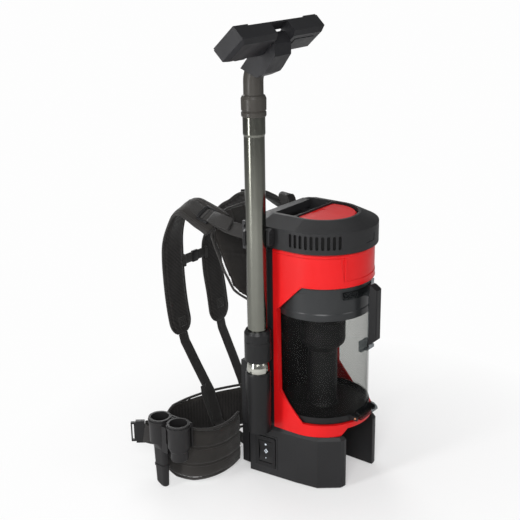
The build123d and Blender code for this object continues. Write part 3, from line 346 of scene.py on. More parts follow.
class MeshBuilder:
    """Collects vertices (mm) and faces, then makes them one object."""

    def __init__(self):
        self.points, self.faces, self.slots, self.uvs = [], [], [], []

    def add(self, points, faces, material=0, uv=None):
        """material is one slot or one per face; uv holds one entry per face."""
        start = len(self.points)
        self.points += [tuple(float(c) for c in p) for p in points]
        for i, face in enumerate(faces):
            self.faces.append(tuple(int(j) + start for j in face))
            self.slots.append(material if isinstance(material, int) else material[i])
            self.uvs.append(uv[i] if uv is not None else None)

    def make(self, name, materials, body=None, replaces=(), smooth=True,
             sharp_angle=None):
        me = bpy.data.meshes.new(name)
        me.from_pydata([(x * MM, y * MM, z * MM) for x, y, z in self.points], [], self.faces)
        for material in materials:
            me.materials.append(MATERIALS[material])
        me.polygons.foreach_set("material_index", self.slots)
        me.polygons.foreach_set("use_smooth", [smooth] * len(self.faces))
        layer = me.uv_layers.new(name="UVMap")
        for polygon, uv in zip(me.polygons, self.uvs):
            for k, loop in enumerate(polygon.loop_indices):
                if uv is not None:
                    layer.data[loop].uv = (uv[k][0] * MM, uv[k][1] * MM)
                else:
                    co = me.vertices[me.loops[loop].vertex_index].co
                    layer.data[loop].uv = (co.x + co.y, co.z)
        me.validate()
        me.update()
        ob = bpy.data.objects.new(name, me)
        bpy.context.scene.collection.objects.link(ob)
        if sharp_angle is not None:
            me.set_sharp_from_angle(angle=math.radians(sharp_angle))
        if body:
            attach(ob, body)
        if replaces:
            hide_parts(*replaces)
        return ob


def unit(v):
    return v / (np.linalg.norm(v) + 1e-12)


def arc_lengths(points):
    return np.r_[0, np.cumsum(np.linalg.norm(np.diff(points, axis=0), axis=1))]


def sample(s, dist, rows):
    """Interpolate each column of rows at distance s."""
    return np.array([np.interp(s, dist, column) for column in rows.T])


def gauss(x, width):
    return math.exp(-(x / width) ** 2)


def quarter_round(t, least=0.0):
    """Quarter circle rising from 0 at t = 0 to 1 at t = 1."""
    return math.sqrt(max(least, 1 - (1 - t) ** 2))


def ripple(p, frequency, seed):
    return noise.noise(Vector((p[0] * frequency + seed, p[1] * frequency + seed * 0.7,
                               p[2] * frequency)))


def catmull(points, count):
    """Smooth curve through the points, sampled evenly along their chords."""
    p = np.array(points, float)
    d = arc_lengths(p)
    last = len(p) - 1
    slopes = np.zeros_like(p)
    for i in range(len(p)):
        a, b = max(0, i - 1), min(last, i + 1)
        slopes[i] = (p[b] - p[a]) / (d[b] - d[a])
    out = []
    for x in np.linspace(0, d[-1], count):
        i = min(last - 1, max(0, int(np.searchsorted(d, x, "right")) - 1))
        h = d[i + 1] - d[i]
        t = (x - d[i]) / h
        out.append((2 * t**3 - 3 * t**2 + 1) * p[i]
                   + (t**3 - 2 * t**2 + t) * h * slopes[i]
                   + (-2 * t**3 + 3 * t**2) * p[i + 1]
                   + (t**3 - t**2) * h * slopes[i + 1])
    return np.array(out)


def grid_faces(rows, columns, close_columns=False, close_rows=False):
    faces = []
    for i in range(rows - (0 if close_rows else 1)):
        for j in range(columns - (0 if close_columns else 1)):
            here, after = i * columns, (i + 1) % rows * columns
            k = (j + 1) % columns
            faces.append((here + j, here + k, after + k, after + j))
    return faces


def capped_faces(rows, columns):
    """Faces of a tube of closed rows, with a cap at each end."""
    return grid_faces(rows, columns, True) + [
        tuple(range(columns))[::-1], tuple(range((rows - 1) * columns, rows * columns))]


def grid_uv(along, across, closed=False):
    uv = []
    for s1, s2 in zip(along, along[1:]):
        for j in range(len(across) - (0 if closed else 1)):
            a1, a2 = across[j], across[(j + 1) % len(across)]
            uv.append(((s1, a1), (s1, a2), (s2, a2), (s2, a1)))
    return uv


def tube(mesh, points, radius, sides=8, material=0):
    p = np.array(points, float)
    count = len(p)
    ref = None
    out = []
    for i in range(count):
        along = unit(p[min(i + 1, count - 1)] - p[max(i - 1, 0)])
        if ref is None:
            ref = unit(np.cross(along, [0.31, 0.22, 0.92]))
        ref = unit(ref - along * ref.dot(along))
        other = np.cross(along, ref)
        for j in range(sides):
            angle = 2 * math.pi * j / sides
            out.append(p[i] + radius * (math.cos(angle) * ref + math.sin(angle) * other))
    mesh.add(out, capped_faces(count, sides), material)


def stitch(mesh, start, end, normal, material):
    """One stitch: a short flattened thread that rises in the middle."""
    radius = 0.42
    normal = unit(normal)
    across = np.cross(unit(end - start), normal)
    out = []
    for t, rise in ((0, -0.15), (0.25, 0.38), (0.75, 0.38), (1, -0.15)):
        centre = start + (end - start) * t + normal * rise
        for degrees in (0, 90, 180, 270):
            angle = math.radians(degrees)
            out.append(centre + radius * (math.cos(angle) * across
                                          + 0.7 * math.sin(angle) * normal))
    mesh.add(out, capped_faces(4, 4), material)


def stitch_line(mesh, points, normals, pitch=3.4, length=2.4, material=0):
    p = np.array(points, float)
    n = np.array(normals, float)
    dist = arc_lengths(p)
    s = 0.0
    while s + length < dist[-1]:
        stitch(mesh, sample(s, dist, p), sample(s + length, dist, p),
               sample(s + length / 2, dist, n), material)
        s += pitch


# half outline of a flat woven band: share of half width, share of half thickness
BAND_PROFILE = [
    (-1, -0.6), (-0.97, -1), (-0.5, -1), (0, -1), (0.5, -1), (0.97, -1), (1, -0.6),
    (1, 0.6), (0.97, 1), (0.5, 1), (0, 1), (-0.5, 1), (-0.97, 1), (-1, 0.6)]


def band(mesh, points, across, width, thick, count=None):
    """Flat woven band; its width lies along across (one vector, or one per point)."""
    count = count or len(points) * 14
    line = catmull(points, count)
    across = np.array(across, float)
    if across.ndim == 2:
        chords = arc_lengths(points)
        across = np.array([sample(s, chords, across)
                           for s in np.linspace(0, chords[-1], count)])
    else:
        across = np.repeat(across[None], count, 0)
    out = []
    for i in range(count):
        along = unit(line[min(count - 1, i + 1)] - line[max(0, i - 1)])
        side = unit(across[i] - along * across[i].dot(along))
        normal = np.cross(along, side)
        for x, y in BAND_PROFILE:
            wave = 0.35 * ripple(line[i], 0.03, 5.0) * math.cos(x * 2.0)
            out.append(line[i] + side * (x * width / 2) + normal * (y * thick / 2)
                       + normal * wave)
    uv = grid_uv(arc_lengths(line), [x * width / 2 for x, _ in BAND_PROFILE], True)
    mesh.add(out, capped_faces(count, len(BAND_PROFILE)), 0, uv + [None, None])


def box(mesh, centre, axes, size, radius, material=0):
    """Box with rounded edges, centred on the three axes."""
    centre, axes, size = (np.array(q, float) for q in (centre, axes, size))
    core_limit = size / 2 - radius
    ticks = []
    for length in size:
        flat = 1 - 2 * radius / length
        shoulder = 1 - (1 - flat) * 0.35
        ticks.append((-1, -shoulder, -flat, flat, shoulder, 1))
    points, index, faces = [], {}, []

    def vertex(key):
        if key not in index:
            q = np.array([t[k] for t, k in zip(ticks, key)]) * size / 2
            core = np.clip(q, -core_limit, core_limit)
            excess = q - core
            length = np.linalg.norm(excess)
            if length > radius:
                excess = excess / length * radius
            q = core + excess
            index[key] = len(points)
            points.append(centre + axes[0] * q[0] + axes[1] * q[1] + axes[2] * q[2])
        return index[key]

    for i in range(5):
        for j in range(5):
            a, b = i + 1, j + 1
            for quad in (((i, j, 0), (i, b, 0), (a, b, 0), (a, j, 0)),
                         ((i, j, 5), (a, j, 5), (a, b, 5), (i, b, 5)),
                         ((i, 0, j), (a, 0, j), (a, 0, b), (i, 0, b)),
                         ((i, 5, j), (i, 5, b), (a, 5, b), (a, 5, j)),
                         ((0, i, j), (0, i, b), (0, a, b), (0, a, j)),
                         ((5, i, j), (5, a, j), (5, a, b), (5, i, b))):
                faces.append(tuple(vertex(key) for key in quad))
    mesh.add(points, faces, material)


# ------------------------------------------------------------------ shoulder straps
# y, z, tilt in degrees, from the yoke over the shoulder and down
STATIONS_LEFT = [
    (193, 463.5, 38), (206, 470, 36), (222, 475, 32), (240, 482, 26), (262, 488, 20),
    (283, 477, 14), (297, 450, 8), (307, 420, 3), (310, 390, 0), (309, 335, 0),
    (303, 275, 0), (292, 220, 0)]
STATIONS_RIGHT = [
    (193, 484.5, 36), (206, 486, 34), (218, 484, 30), (238, 472, 24), (262, 460, 18),
    (285, 438, 10), (303, 410, 4), (316, 380, 0), (316, 325, 0), (307, 270, 0),
    (299, 206, 0)]
LEFT_X, RIGHT_X = -66, 58
STRAP_HALF_WIDTH = 28.4
STRAP_UV_HALF_WIDTH = 28
STRAP_ROWS, STRAP_END_ROWS, STRAP_COLUMNS = 150, 14, 26
LINING_EDGE, BINDING_EDGE = 0.84, 0.88      # shares of the half width
PATCH_Z, PATCH_HALF, PATCH_POINTS = 246.0, 11.5, 13
CROSS_HALF = 9


class Strap:
    """Padded strap in the plane of one x; side +1 is its outer face, -1 the wearer's."""

    def __init__(self, stations, x, tilt_sign):
        count = 120
        self.stations, self.x = stations, x
        line = catmull(stations, count)
        yz = line[:, :2]
        self.dist = arc_lengths(yz)
        self.length = self.dist[-1]
        self.points = np.array([(x, *q) for q in yz], float)
        frames = []
        for i in range(count):
            along = unit(np.array([0, *(yz[min(count - 1, i + 1)] - yz[max(0, i - 1)])]))
            level = np.array([0, -along[2], along[1]])
            tilt = math.radians(line[i, 2]) * tilt_sign
            across = X_AXIS * math.cos(tilt) + level * math.sin(tilt)
            normal = np.cross(along, across)
            frames.append((along, across, -normal if normal.dot(level) < 0 else normal))
        self.axes = np.array(frames).transpose(1, 0, 2)

    def at(self, s):
        """Point, then unit vectors along, across and normal to the strap."""
        return (sample(s, self.dist, self.points),
                *(unit(sample(s, self.dist, axis)) for axis in self.axes))

    def half_width(self, s):
        return max(0.6, STRAP_HALF_WIDTH * quarter_round(min(self.length - s, 30.0) / 30.0))

    def height(self, a, side, s):
        """Height of a face at share a of the half width."""
        a = abs(a)
        if side > 0:      # outer face: crowned, with a stitched border
            h = 1.5 + 4.3 * max(0.0, 1 - a ** 5) ** 0.6 - 1.1 * gauss(a - 0.80, 0.035)
        else:             # wearer side: raised mesh panel inside a flat binding
            q = a / LINING_EDGE
            h = 1.5 + (3.9 * max(0.0, 1 - q ** 7) ** 0.55 if q < 1 else 0.0)
            h -= 0.6 * gauss(a - 0.86, 0.03)
        return h * quarter_round(min(1.0, (self.length - s) / 14.0), least=0.02)

    def surface(self, s, offset, side):
        point, _, across, normal = self.at(s)
        a = max(-1, min(1, offset / self.half_width(s)))
        point = point + across * offset + normal * (side * self.height(a, side, s))
        return point, normal * side


def strap_pad(name, strap, node):
    mesh = MeshBuilder()
    step = 2 / STRAP_COLUMNS
    profile = [(-1 + 2 * i / STRAP_COLUMNS, 1) for i in range(STRAP_COLUMNS + 1)]
    profile += [(1 - 2 * i / STRAP_COLUMNS, -1) for i in range(1, STRAP_COLUMNS)]
    profile = [(math.copysign(abs(a) ** 0.85, a), side) for a, side in profile]
    last_row = STRAP_ROWS - 1
    first_end_row = STRAP_ROWS - STRAP_END_ROWS
    out = []
    for i in range(STRAP_ROWS):
        s = strap.length * (i / last_row)
        if i > first_end_row:       # rows crowd towards the round end
            t = (i - first_end_row) / (STRAP_END_ROWS - 1)
            start = strap.length * first_end_row / last_row
            s = start + (strap.length - start) * math.sin(t * math.pi / 2)
        point, _, across, normal = strap.at(s)
        half_width = strap.half_width(s)
        bend = gauss(s - 70, 45.0)
        for a, side in profile:
            q = (point + across * (a * half_width)
                 + normal * (side * strap.height(a, side, s)))
            body = 1 - abs(a) ** 3
            wrinkle = 0.9 * ripple(q, 0.035, 3.0 + strap.x) * body
            if side < 0:
                wrinkle += 0.8 * bend * body * math.sin(s * 0.55 + 2.0 * ripple(q, 0.02, 9.0))
            out.append(q + normal * wrinkle)
    row_slots = []
    for (a1, side1), (a2, side2) in zip(profile, profile[1:] + profile[:1]):
        middle = abs(a1 + a2) / 2
        lined = (side1 < 0 or side2 < 0) and middle < LINING_EDGE
        row_slots.append(1 if lined else (2 if middle > BINDING_EDGE else 0))
    uv = grid_uv([strap.length * i / last_row for i in range(STRAP_ROWS)],
                 [a * STRAP_UV_HALF_WIDTH for a, _ in profile], True)
    mesh.add(out, capped_faces(STRAP_ROWS, len(profile)), row_slots * last_row + [0, 0],
             uv + [None, None])
    # binding cord round the edge
    low_edge, high_edge = [], []
    for i in range(91):
        s = strap.length * i / 90
        point, _, across, _ = strap.at(s)
        reach = across * (strap.half_width(s) + 0.5)
        low_edge.append(point - reach)
        high_edge.append(point + reach)
    tube(mesh, low_edge[:-1] + high_edge[::-1][1:], 1.75, material=2)
    mesh.make(name, ["harness_fabric", "lining_mesh", "binding_tape"], "root",
              (node,))


def strap_stitching(name, strap):
    mesh = MeshBuilder()
    for side, share in ((1, 0.80), (-1, 0.90)):
        for edge in (-1, 1):
            spots = [6 + (strap.length - 34) * i / 169 for i in range(170)]
            line = [strap.surface(s, edge * strap.half_width(s) * share, side)
                    for s in spots]
            stitch_line(mesh, *zip(*line))
    # box-and-cross stitched patch low on the wearer side
    centre = float(np.interp(-PATCH_Z, -strap.points[:, 2], strap.dist))
    ticks = [-PATCH_HALF + 2 * PATCH_HALF * i / (PATCH_POINTS - 1)
             for i in range(PATCH_POINTS)]
    patch = []
    for u in ticks:
        for w in ticks:
            point, normal = strap.surface(centre + u, w, -1)
            inside = max(abs(u), abs(w)) / PATCH_HALF < 0.99
            patch.append(point + normal * (1.25 if inside else -0.6))
    cells = [2 * i for i in range(PATCH_POINTS)]
    mesh.add(patch, grid_faces(PATCH_POINTS, PATCH_POINTS), 1, grid_uv(cells, cells))
    c = CROSS_HALF
    for path in ([(-c, -c), (c, -c), (c, c), (-c, c), (-c, -c), (c, c)], [(c, -c), (-c, c)]):
        for a, b in zip(path, path[1:]):
            points, normals = [], []
            for t in np.linspace(0, 1, 16):
                point, normal = strap.surface(centre + a[0] + (b[0] - a[0]) * t,
                                              a[1] + (b[1] - a[1]) * t, -1)
                points.append(point + normal * 1.5)
                normals.append(normal)
            stitch_line(mesh, points, normals, pitch=2.8, length=2.0)
    mesh.make(name + "_stitching", ["thread", "webbing"], "root")


STRAP_LEFT = Strap(STATIONS_LEFT, LEFT_X, 1)
STRAP_RIGHT = Strap(STATIONS_RIGHT, RIGHT_X, -1)
for name, strap, node in (("shoulder_pad_left", STRAP_LEFT, "shoulder_strap_left"),
                          ("shoulder_pad_right", STRAP_RIGHT, "shoulder_strap_right")):
    strap_pad(name, strap, node)
    strap_stitching(name, strap)

# ------------------------------------------------------------------ webbing
# lower webbing from the strap ends down: x, y, z of its corners
LOWER_LEFT = [(LEFT_X, 291.5, 222), (LEFT_X, 287, 206), (LEFT_X, 256, 158),
              (LEFT_X, 225, 112), (-68, 203, 52), (-72, 109.4, 30)]
LOWER_RIGHT = [(RIGHT_X, 299.5, 212), (RIGHT_X, 295, 192), (RIGHT_X, 266, 132),
               (RIGHT_X, 239, 74), (78, 178, 52)]
LOOSE_TAIL = [(-79, 232, 129), (-80, 228, 112), (-80, 217, 84), (-79, 209, 62),
              (-78, 205, 52)]
GRAB_LOOP = [(38, 112, 478), (38, 114, 497), (40, 119, 508), (50, 121, 510.5),
             (60, 119, 506), (62, 114, 495), (62, 112, 478)]
# folded lifter end: distance back from the buckle, distance out from the band
LIFTER_FOLD = [(22, 6.5), (44, 7.0), (52, 5.6), (53, 2.8), (46, 1.9), (26, 2.2)]


def load_lifter(mesh, strap, side, end_z):
    """Band through the ladder buckle, tight back to the frame top, its end folded over.

    Returns the buckle's centre and axes.
    """
    (y0, z0, _), (y1, z1, _) = strap.stations[1:3]
    y, z = y0 * 0.45 + y1 * 0.55, z0 * 0.45 + z1 * 0.55
    nearest = np.argmin(np.hypot(strap.points[:, 1] - y, strap.points[:, 2] - z))
    s = float(strap.dist[nearest])
    point, along, across, normal = strap.at(s)
    buckle = point + normal * 10.0
    end = np.array([side * 84.0, 112.0, end_z])
    end_across = unit(np.array([0.45 * -side, 0.0, 1.0]))
    if across.dot(end_across) < 0:
        end_across = -end_across
    mid_across = unit(across + end_across)
    bar = buckle - along * 13 + normal * 2.0
    middle = bar * 0.5 + end * 0.5 + np.array([0, 0, -4.0])
    band(mesh, [buckle + along * 5, buckle - along * 2 + normal * 1.4, bar, middle, end],
         [across, across, across, mid_across, end_across], 25, 1.8)
    back = unit(end - bar)
    out = np.cross(back, unit(mid_across))
    if out.dot(normal) <= 0:
        out = -out
    fold = [bar + back * b + out * o for b, o in LIFTER_FOLD]
    band(mesh, [buckle - along * 10 + normal * 2.8, bar - along * 2 + normal * 3.8] + fold,
         [across] * 2 + [mid_across] * 6, 24, 1.6, count=60)
    # sewn anchor of the buckle on the pad
    anchor = []
    for k in range(7):
        pad_point, _, _, pad_normal = strap.at(s + 5 + k * 8)
        anchor.append(pad_point + pad_normal * (8.6 - 0.42 * k))
    return (buckle, along, across, normal), anchor


def straight(corners, steps=5):
    """Corners with evenly spaced points between them."""
    out = []
    for a, b in zip(corners, corners[1:]):
        for t in np.linspace(0, 1, steps)[:-1]:
            out.append(tuple(np.array(a, float) * (1 - t) + np.array(b, float) * t))
    return out + [corners[-1]]


mesh = MeshBuilder()
buckles = []
# strap, side, height of the lifter's far end, end buckle's distance from the strap end
for strap, side, end_z, inset in ((STRAP_LEFT, -1, 468.0, 22), (STRAP_RIGHT, 1, 466.0, 24)):
    buckle, anchor = load_lifter(mesh, strap, side, end_z)
    band(mesh, anchor, buckle[2], 24, 1.6)
    point, along, across, normal = strap.at(strap.length - inset)
    buckles += [buckle, (point + normal * 8.4, along, across, normal)]
band(mesh, straight(LOWER_LEFT), X_AXIS, 25, 1.8, count=90)
band(mesh, straight(LOWER_RIGHT), X_AXIS, 25, 1.8, count=80)
band(mesh, LOOSE_TAIL, (1.0, 0.28, 0), 20, 1.5)
band(mesh, GRAB_LOOP, (0, 1, 0.1), 18, 1.7)
mesh.make("harness_webbing_bands", ["webbing"], "root", ("harness_webbing",))

# chest strap: two short bands with a keeper loop each and a small clip in the middle
CHEST_Z = 363.0
CHEST_BANDS = [  # x, y
    [(-41, 309.5), (-30, 312), (-14, 312.5), (-2, 312)],
    [(33, 312.5), (22, 312.5), (10, 312.5), (2, 312)]]
KEEPER_LOOP = [(-3, -4.6), (0, -5.4), (3, -4.6), (4.4, 0), (3, 4.6), (0, 5.2), (-3, 4.6)]
CLIP_Y = 312.3
mesh = MeshBuilder()
for line in CHEST_BANDS:
    band(mesh, [(x, y, CHEST_Z) for x, y in line], Z_AXIS, 20, 1.7)
for x, y in ((-36, 310.5), (30, 311.5)):
    band(mesh, [(x + dx, y + dy, CHEST_Z) for dx, dy in KEEPER_LOOP], Z_AXIS, 23, 1.5)
mesh.make("chest_strap_bands", ["webbing"], "root", ("sternum_strap",))

mesh = MeshBuilder()
for x, size, radius in ((0, (17, 6.5, 24), 2.2), (9.5, (5, 5, 20), 1.6)):
    box(mesh, (x, CLIP_Y, CHEST_Z), (X_AXIS, Y_AXIS, Z_AXIS), size, radius)
mesh.make("chest_clip", ["buckle_plastic"], "root")

# ladder buckles: side rails, three cross bars and a lifted thumb edge
mesh = MeshBuilder()
for centre, along, across, normal in buckles:
    axes = (across, along, normal)
    for side in (-1, 1):
        box(mesh, centre + across * (side * 15.2), axes, (3.8, 26, 4.8), 1.5)
    for t in (-11.2, 0, 11.2):
        box(mesh, centre + along * t, axes, (30, 3.8, 4.2), 1.5)
    lifted = (across, unit(along + normal * 0.5), unit(normal - along * 0.5))
    box(mesh, centre + along * 12.6 + normal * 1.6, lifted, (28, 5.2, 2.4), 1.0)
mesh.make("strap_ladder_buckles", ["buckle_plastic"], "root",
          ("strap_buckles",))

# ------------------------------------------------------------------ cloth pads
PUFF_LIMIT = 0.0032      # farthest the cloth may move, metres
CLOTH_FRAMES = 20


def apply_modifiers(ob):
    graph = bpy.context.evaluated_depsgraph_get()
    me = bpy.data.meshes.new_from_object(ob.evaluated_get(graph))
    ob.modifiers.clear()
    old = ob.data
    ob.data = me
    bpy.data.meshes.remove(old)


def read_vertices(me, field="co"):
    values = np.empty(len(me.vertices) * 3)
    me.vertices.foreach_get(field, values)
    return values.reshape(-1, 3)


def puff(ob, voxel):
    """Remesh the pad evenly, then swell it as cloth under inner pressure."""
    scene = bpy.context.scene
    materials = list(ob.data.materials)
    remesh = ob.modifiers.new("remesh", "REMESH")
    remesh.mode = "VOXEL"
    remesh.voxel_size = voxel
    apply_modifiers(ob)
    me = ob.data
    rest = read_vertices(me)
    cloth = ob.modifiers.new("cloth", "CLOTH")
    settings = cloth.settings
    settings.quality = 4
    settings.mass = 0.2
    settings.tension_stiffness = 12
    settings.compression_stiffness = 12
    settings.shear_stiffness = 6
    settings.bending_stiffness = 0.6
    settings.use_pressure = True
    settings.uniform_pressure_force = 4.0
    settings.effector_weights.gravity = 0.0
    cloth.collision_settings.use_collision = False
    cloth.point_cache.frame_start = 1
    cloth.point_cache.frame_end = CLOTH_FRAMES
    for frame in range(1, CLOTH_FRAMES + 1):
        scene.frame_set(frame)
    graph = bpy.context.evaluated_depsgraph_get()
    moved = read_vertices(ob.evaluated_get(graph).data)
    ob.modifiers.clear()
    scene.frame_set(1)
    shift = moved - rest
    length = np.linalg.norm(shift, axis=1, keepdims=True)
    shift = shift * np.minimum(1.0, PUFF_LIMIT / np.maximum(length, 1e-9))
    me.vertices.foreach_set("co", (rest + shift).ravel())
    me.materials.clear()
    for material in materials:
        me.materials.append(material)


def relax(me, rounds=3, share=0.5):
    """Move each vertex part of the way to the mean of its neighbours."""
    co = read_vertices(me)
    edges = np.zeros(len(me.edges) * 2, int)
    me.edges.foreach_get("vertices", edges)
    edges = edges.reshape(-1, 2)
    degree = np.bincount(edges.ravel(), minlength=len(co))[:, None]
    for _ in range(rounds):
        total = np.zeros_like(co)
        np.add.at(total, edges[:, 0], co[edges[:, 1]])
        np.add.at(total, edges[:, 1], co[edges[:, 0]])
        co += share * (total / np.maximum(degree, 1) - co)
    me.vertices.foreach_set("co", co.ravel())
    me.update()


def displace(me, relief):
    """Push each vertex along its normal by relief(point), all in millimetres."""
    me.update()
    co, normals = read_vertices(me), read_vertices(me, "normal")
    for i in range(len(co)):
        co[i] += normals[i] * (relief(Vector(co[i] / MM)) * MM)
    me.vertices.foreach_set("co", co.ravel())
    me.update()


def shell(mesh, surface, rows, columns):
    """Closed pad from surface(u, v, side) on a grid, joined round the rim."""
    points = [surface(i / (rows - 1), j / (columns - 1), side)
              for side in (1, -1) for i in range(rows) for j in range(columns)]
    front = grid_faces(rows, columns)
    half = rows * columns
    back = [tuple(x + half for x in face)[::-1] for face in front]
    rim = [(i, 0) for i in range(rows)]
    rim += [(rows - 1, j) for j in range(1, columns)]
    rim += [(i, columns - 1) for i in range(rows - 2, -1, -1)]
    rim += [(0, j) for j in range(columns - 2, 0, -1)]
    rim = [i * columns + j for i, j in rim]
    wall = [(b, a, a + half, b + half) for a, b in zip(rim, rim[1:] + rim[:1])]
    mesh.add(points, front + back + wall)


def pad_half_thickness(across, end, rim, crown, power, end_share):
    """across is 0 to 1 from the middle to the edge; end is 0 to 1 from the end inwards."""
    across_part = rim + crown * max(0, 1 - across ** power) ** 0.5
    return across_part * (end_share + (1 - end_share) * quarter_round(end))


def cloth_pad(name, node, surface, rows, columns, voxel, relief, is_lining):
    mesh = MeshBuilder()
    shell(mesh, surface, rows, columns)
    ob = mesh.make(name, ["harness_fabric_pad", "lining_mesh_pad"])
    puff(ob, voxel)
    relax(ob.data)
    subdivision = ob.modifiers.new("subdivision", "SUBSURF")
    subdivision.levels = subdivision.render_levels = 1
    apply_modifiers(ob)
    displace(ob.data, relief)
    for polygon in ob.data.polygons:
        polygon.use_smooth = True
        polygon.material_index = 1 if is_lining(polygon.center / MM, polygon.normal) else 0
    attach(ob, "root")
    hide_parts(node)


class Path:
    """Smooth flat line measured by its length."""

    def __init__(self, points, count):
        self.line = catmull(points, count)
        self.dist = arc_lengths(self.line)
        self.length = self.dist[-1]

    def at(self, s, step):
        """Point and direction, the direction taken over a step each way."""
        ahead = sample(min(s + step, self.length), self.dist, self.line)
        behind = sample(max(s - step, 0), self.dist, self.line)
        return sample(s, self.dist, self.line), unit(ahead - behind)


# ------------------------------------------------------------------ yoke
# y, z from bottom to top
YOKE = Path([(104.0, 322), (118, 322), (130, 326), (149, 340), (165, 375), (177, 402),
             (190, 430), (198, 455), (200, 472), (198, 486)], 80)
# half widths, and the z of each towards -x (-1) and towards +x (1)
YOKE_WIDTHS = [50, 56, 71, 79, 80, 63, 46, 30]
YOKE_LEVELS = {-1: [322, 326, 345, 380, 445, 468, 481, 486],
               1: [322, 326, 345, 380, 455, 474, 481, 486]}
# z and half width that place the seams and the lining
SEAM_LEVELS = [318, 345, 380, 445, 468, 481, 487]
SEAM_WIDTHS = [50, 71, 79, 80, 63, 46, 30]
YOKE_SEAM_INSET = 8


def yoke_half_width(s, side):
    if s < 14:
        return 48.0 + s * 0.15
    z = np.interp(s, YOKE.dist, YOKE.line[:, 1])
    return float(np.interp(z, YOKE_LEVELS[side], YOKE_WIDTHS))


def yoke_point(u, v, offset):
    s = YOKE.length * u
    (y, z), along = YOKE.at(s, 2)
    normal = np.array([0, -along[1], along[0]])
    left = yoke_half_width(s, -1)
    x = -left + (left + yoke_half_width(s, 1)) * v
    return np.array([x, y, z]) + normal * offset, normal


def yoke_surface(u, v, side):
    half = pad_half_thickness(abs(2 * v - 1), min(1.0, min(u, 1 - u) / 0.05),
                              rim=1.3, crown=2.6, power=6, end_share=0.45)
    return yoke_point(u, v, side * half)[0]


def edge_distance(p):
    return float(np.interp(p.z, SEAM_LEVELS, SEAM_WIDTHS)) - abs(p.x)


def yoke_relief(p):
    """Border, V-shaped and upright seams, with gentle unevenness."""
    d = edge_distance(p)
    h = -1.3 * gauss(d - YOKE_SEAM_INSET, 1.6)
    if d > YOKE_SEAM_INSET:
        h -= 1.2 * gauss(p.z - 392 - abs(p.x) * 0.35, 1.7)
    if p.z > 340:
        h -= 1.0 * gauss(abs(p.x) - 17, 1.5)
    return h + 0.7 * ripple(p, 0.045, 2.0) + 0.35 * ripple(p, 0.12, 7.0)


def yoke_lining(centre, normal):
    return normal.y > 0.25 and edge_distance(centre) > 8.5


def yoke_piping():
    """Piping round the sides and top, with stitches beside it."""
    mesh = MeshBuilder()
    outset = X_AXIS * 0.6
    rim = [yoke_point(u, 0.0, 0)[0] - outset for u in np.linspace(0.0, 1, 70)]
    rim += [yoke_point(1.0, v, 0)[0] for v in np.linspace(0, 1, 14)[1:-1]]
    rim += [yoke_point(u, 1.0, 0)[0] + outset for u in np.linspace(1, 0, 70)]
    tube(mesh, rim, 2.3, sides=10)
    for face in (1, -1):
        for edge in (-1, 1):
            points, normals = [], []
            for u in np.linspace(0.14, 0.93, 120):
                s = YOKE.length * u
                inset = YOKE_SEAM_INSET / (yoke_half_width(s, -1) + yoke_half_width(s, 1))
                point, normal = yoke_point(u, inset if edge < 0 else 1 - inset, face * 4.3)
                points.append(point)
                normals.append(normal * face)
            stitch_line(mesh, points, normals, pitch=3.6, length=2.5, material=1)
    mesh.make("yoke_piping", ["binding_tape", "thread"], "root")


cloth_pad("yoke_pad", "back_panel", yoke_surface, 56, 44, voxel=0.0042,
          relief=yoke_relief, is_lining=yoke_lining)
yoke_piping()

# ------------------------------------------------------------------ hip belt wings
WING_SEAMS = (0.655, 0.31)     # shares of the wing's height
WING_LINING_INSET = 9


class Wing:
    """Upright padded band along an x, y path.

    tops and bottoms list (x or y, z), read against the path's coordinate number key.
    outward is the sign that turns the path's left-hand normal to the outer face.
    """

    def __init__(self, points, key, tops, bottoms, outward):
        self.path = Path(points, 120)
        self.length = self.path.length
        self.key, self.outward = key, outward
        self.tops, self.bottoms = np.array(tops, float).T, np.array(bottoms, float).T

    def at(self, s):
        """Point, outward normal, bottom z and top z."""
        s = min(max(s, 0), self.length)
        point, along = self.path.at(s, 1.5)
        normal = np.array([-along[1], along[0]]) * self.outward
        top = float(np.interp(point[self.key], *self.tops))
        bottom = float(np.interp(point[self.key], *self.bottoms))
        end = quarter_round(min(1.0, (self.length - s) / 26.0))
        middle = (top + bottom) / 2
        half = (top - bottom) / 2 * (0.35 + 0.65 * end)
        return point, normal, middle - half, middle + half

    def point(self, s, z, offset):
        q, normal, _, _ = self.at(s)
        return np.array([q[0] + normal[0] * offset, q[1] + normal[1] * offset, z])

    def surface(self, u, v, side):
        s = self.length * u
        _, _, bottom, top = self.at(s)
        half = pad_half_thickness(abs(2 * v - 1), min(1.0, (1 - u) * self.length / 12.0),
                                  rim=1.4, crown=3.0, power=8, end_share=0.4)
        return self.point(s, bottom + (top - bottom) * v, half * side)


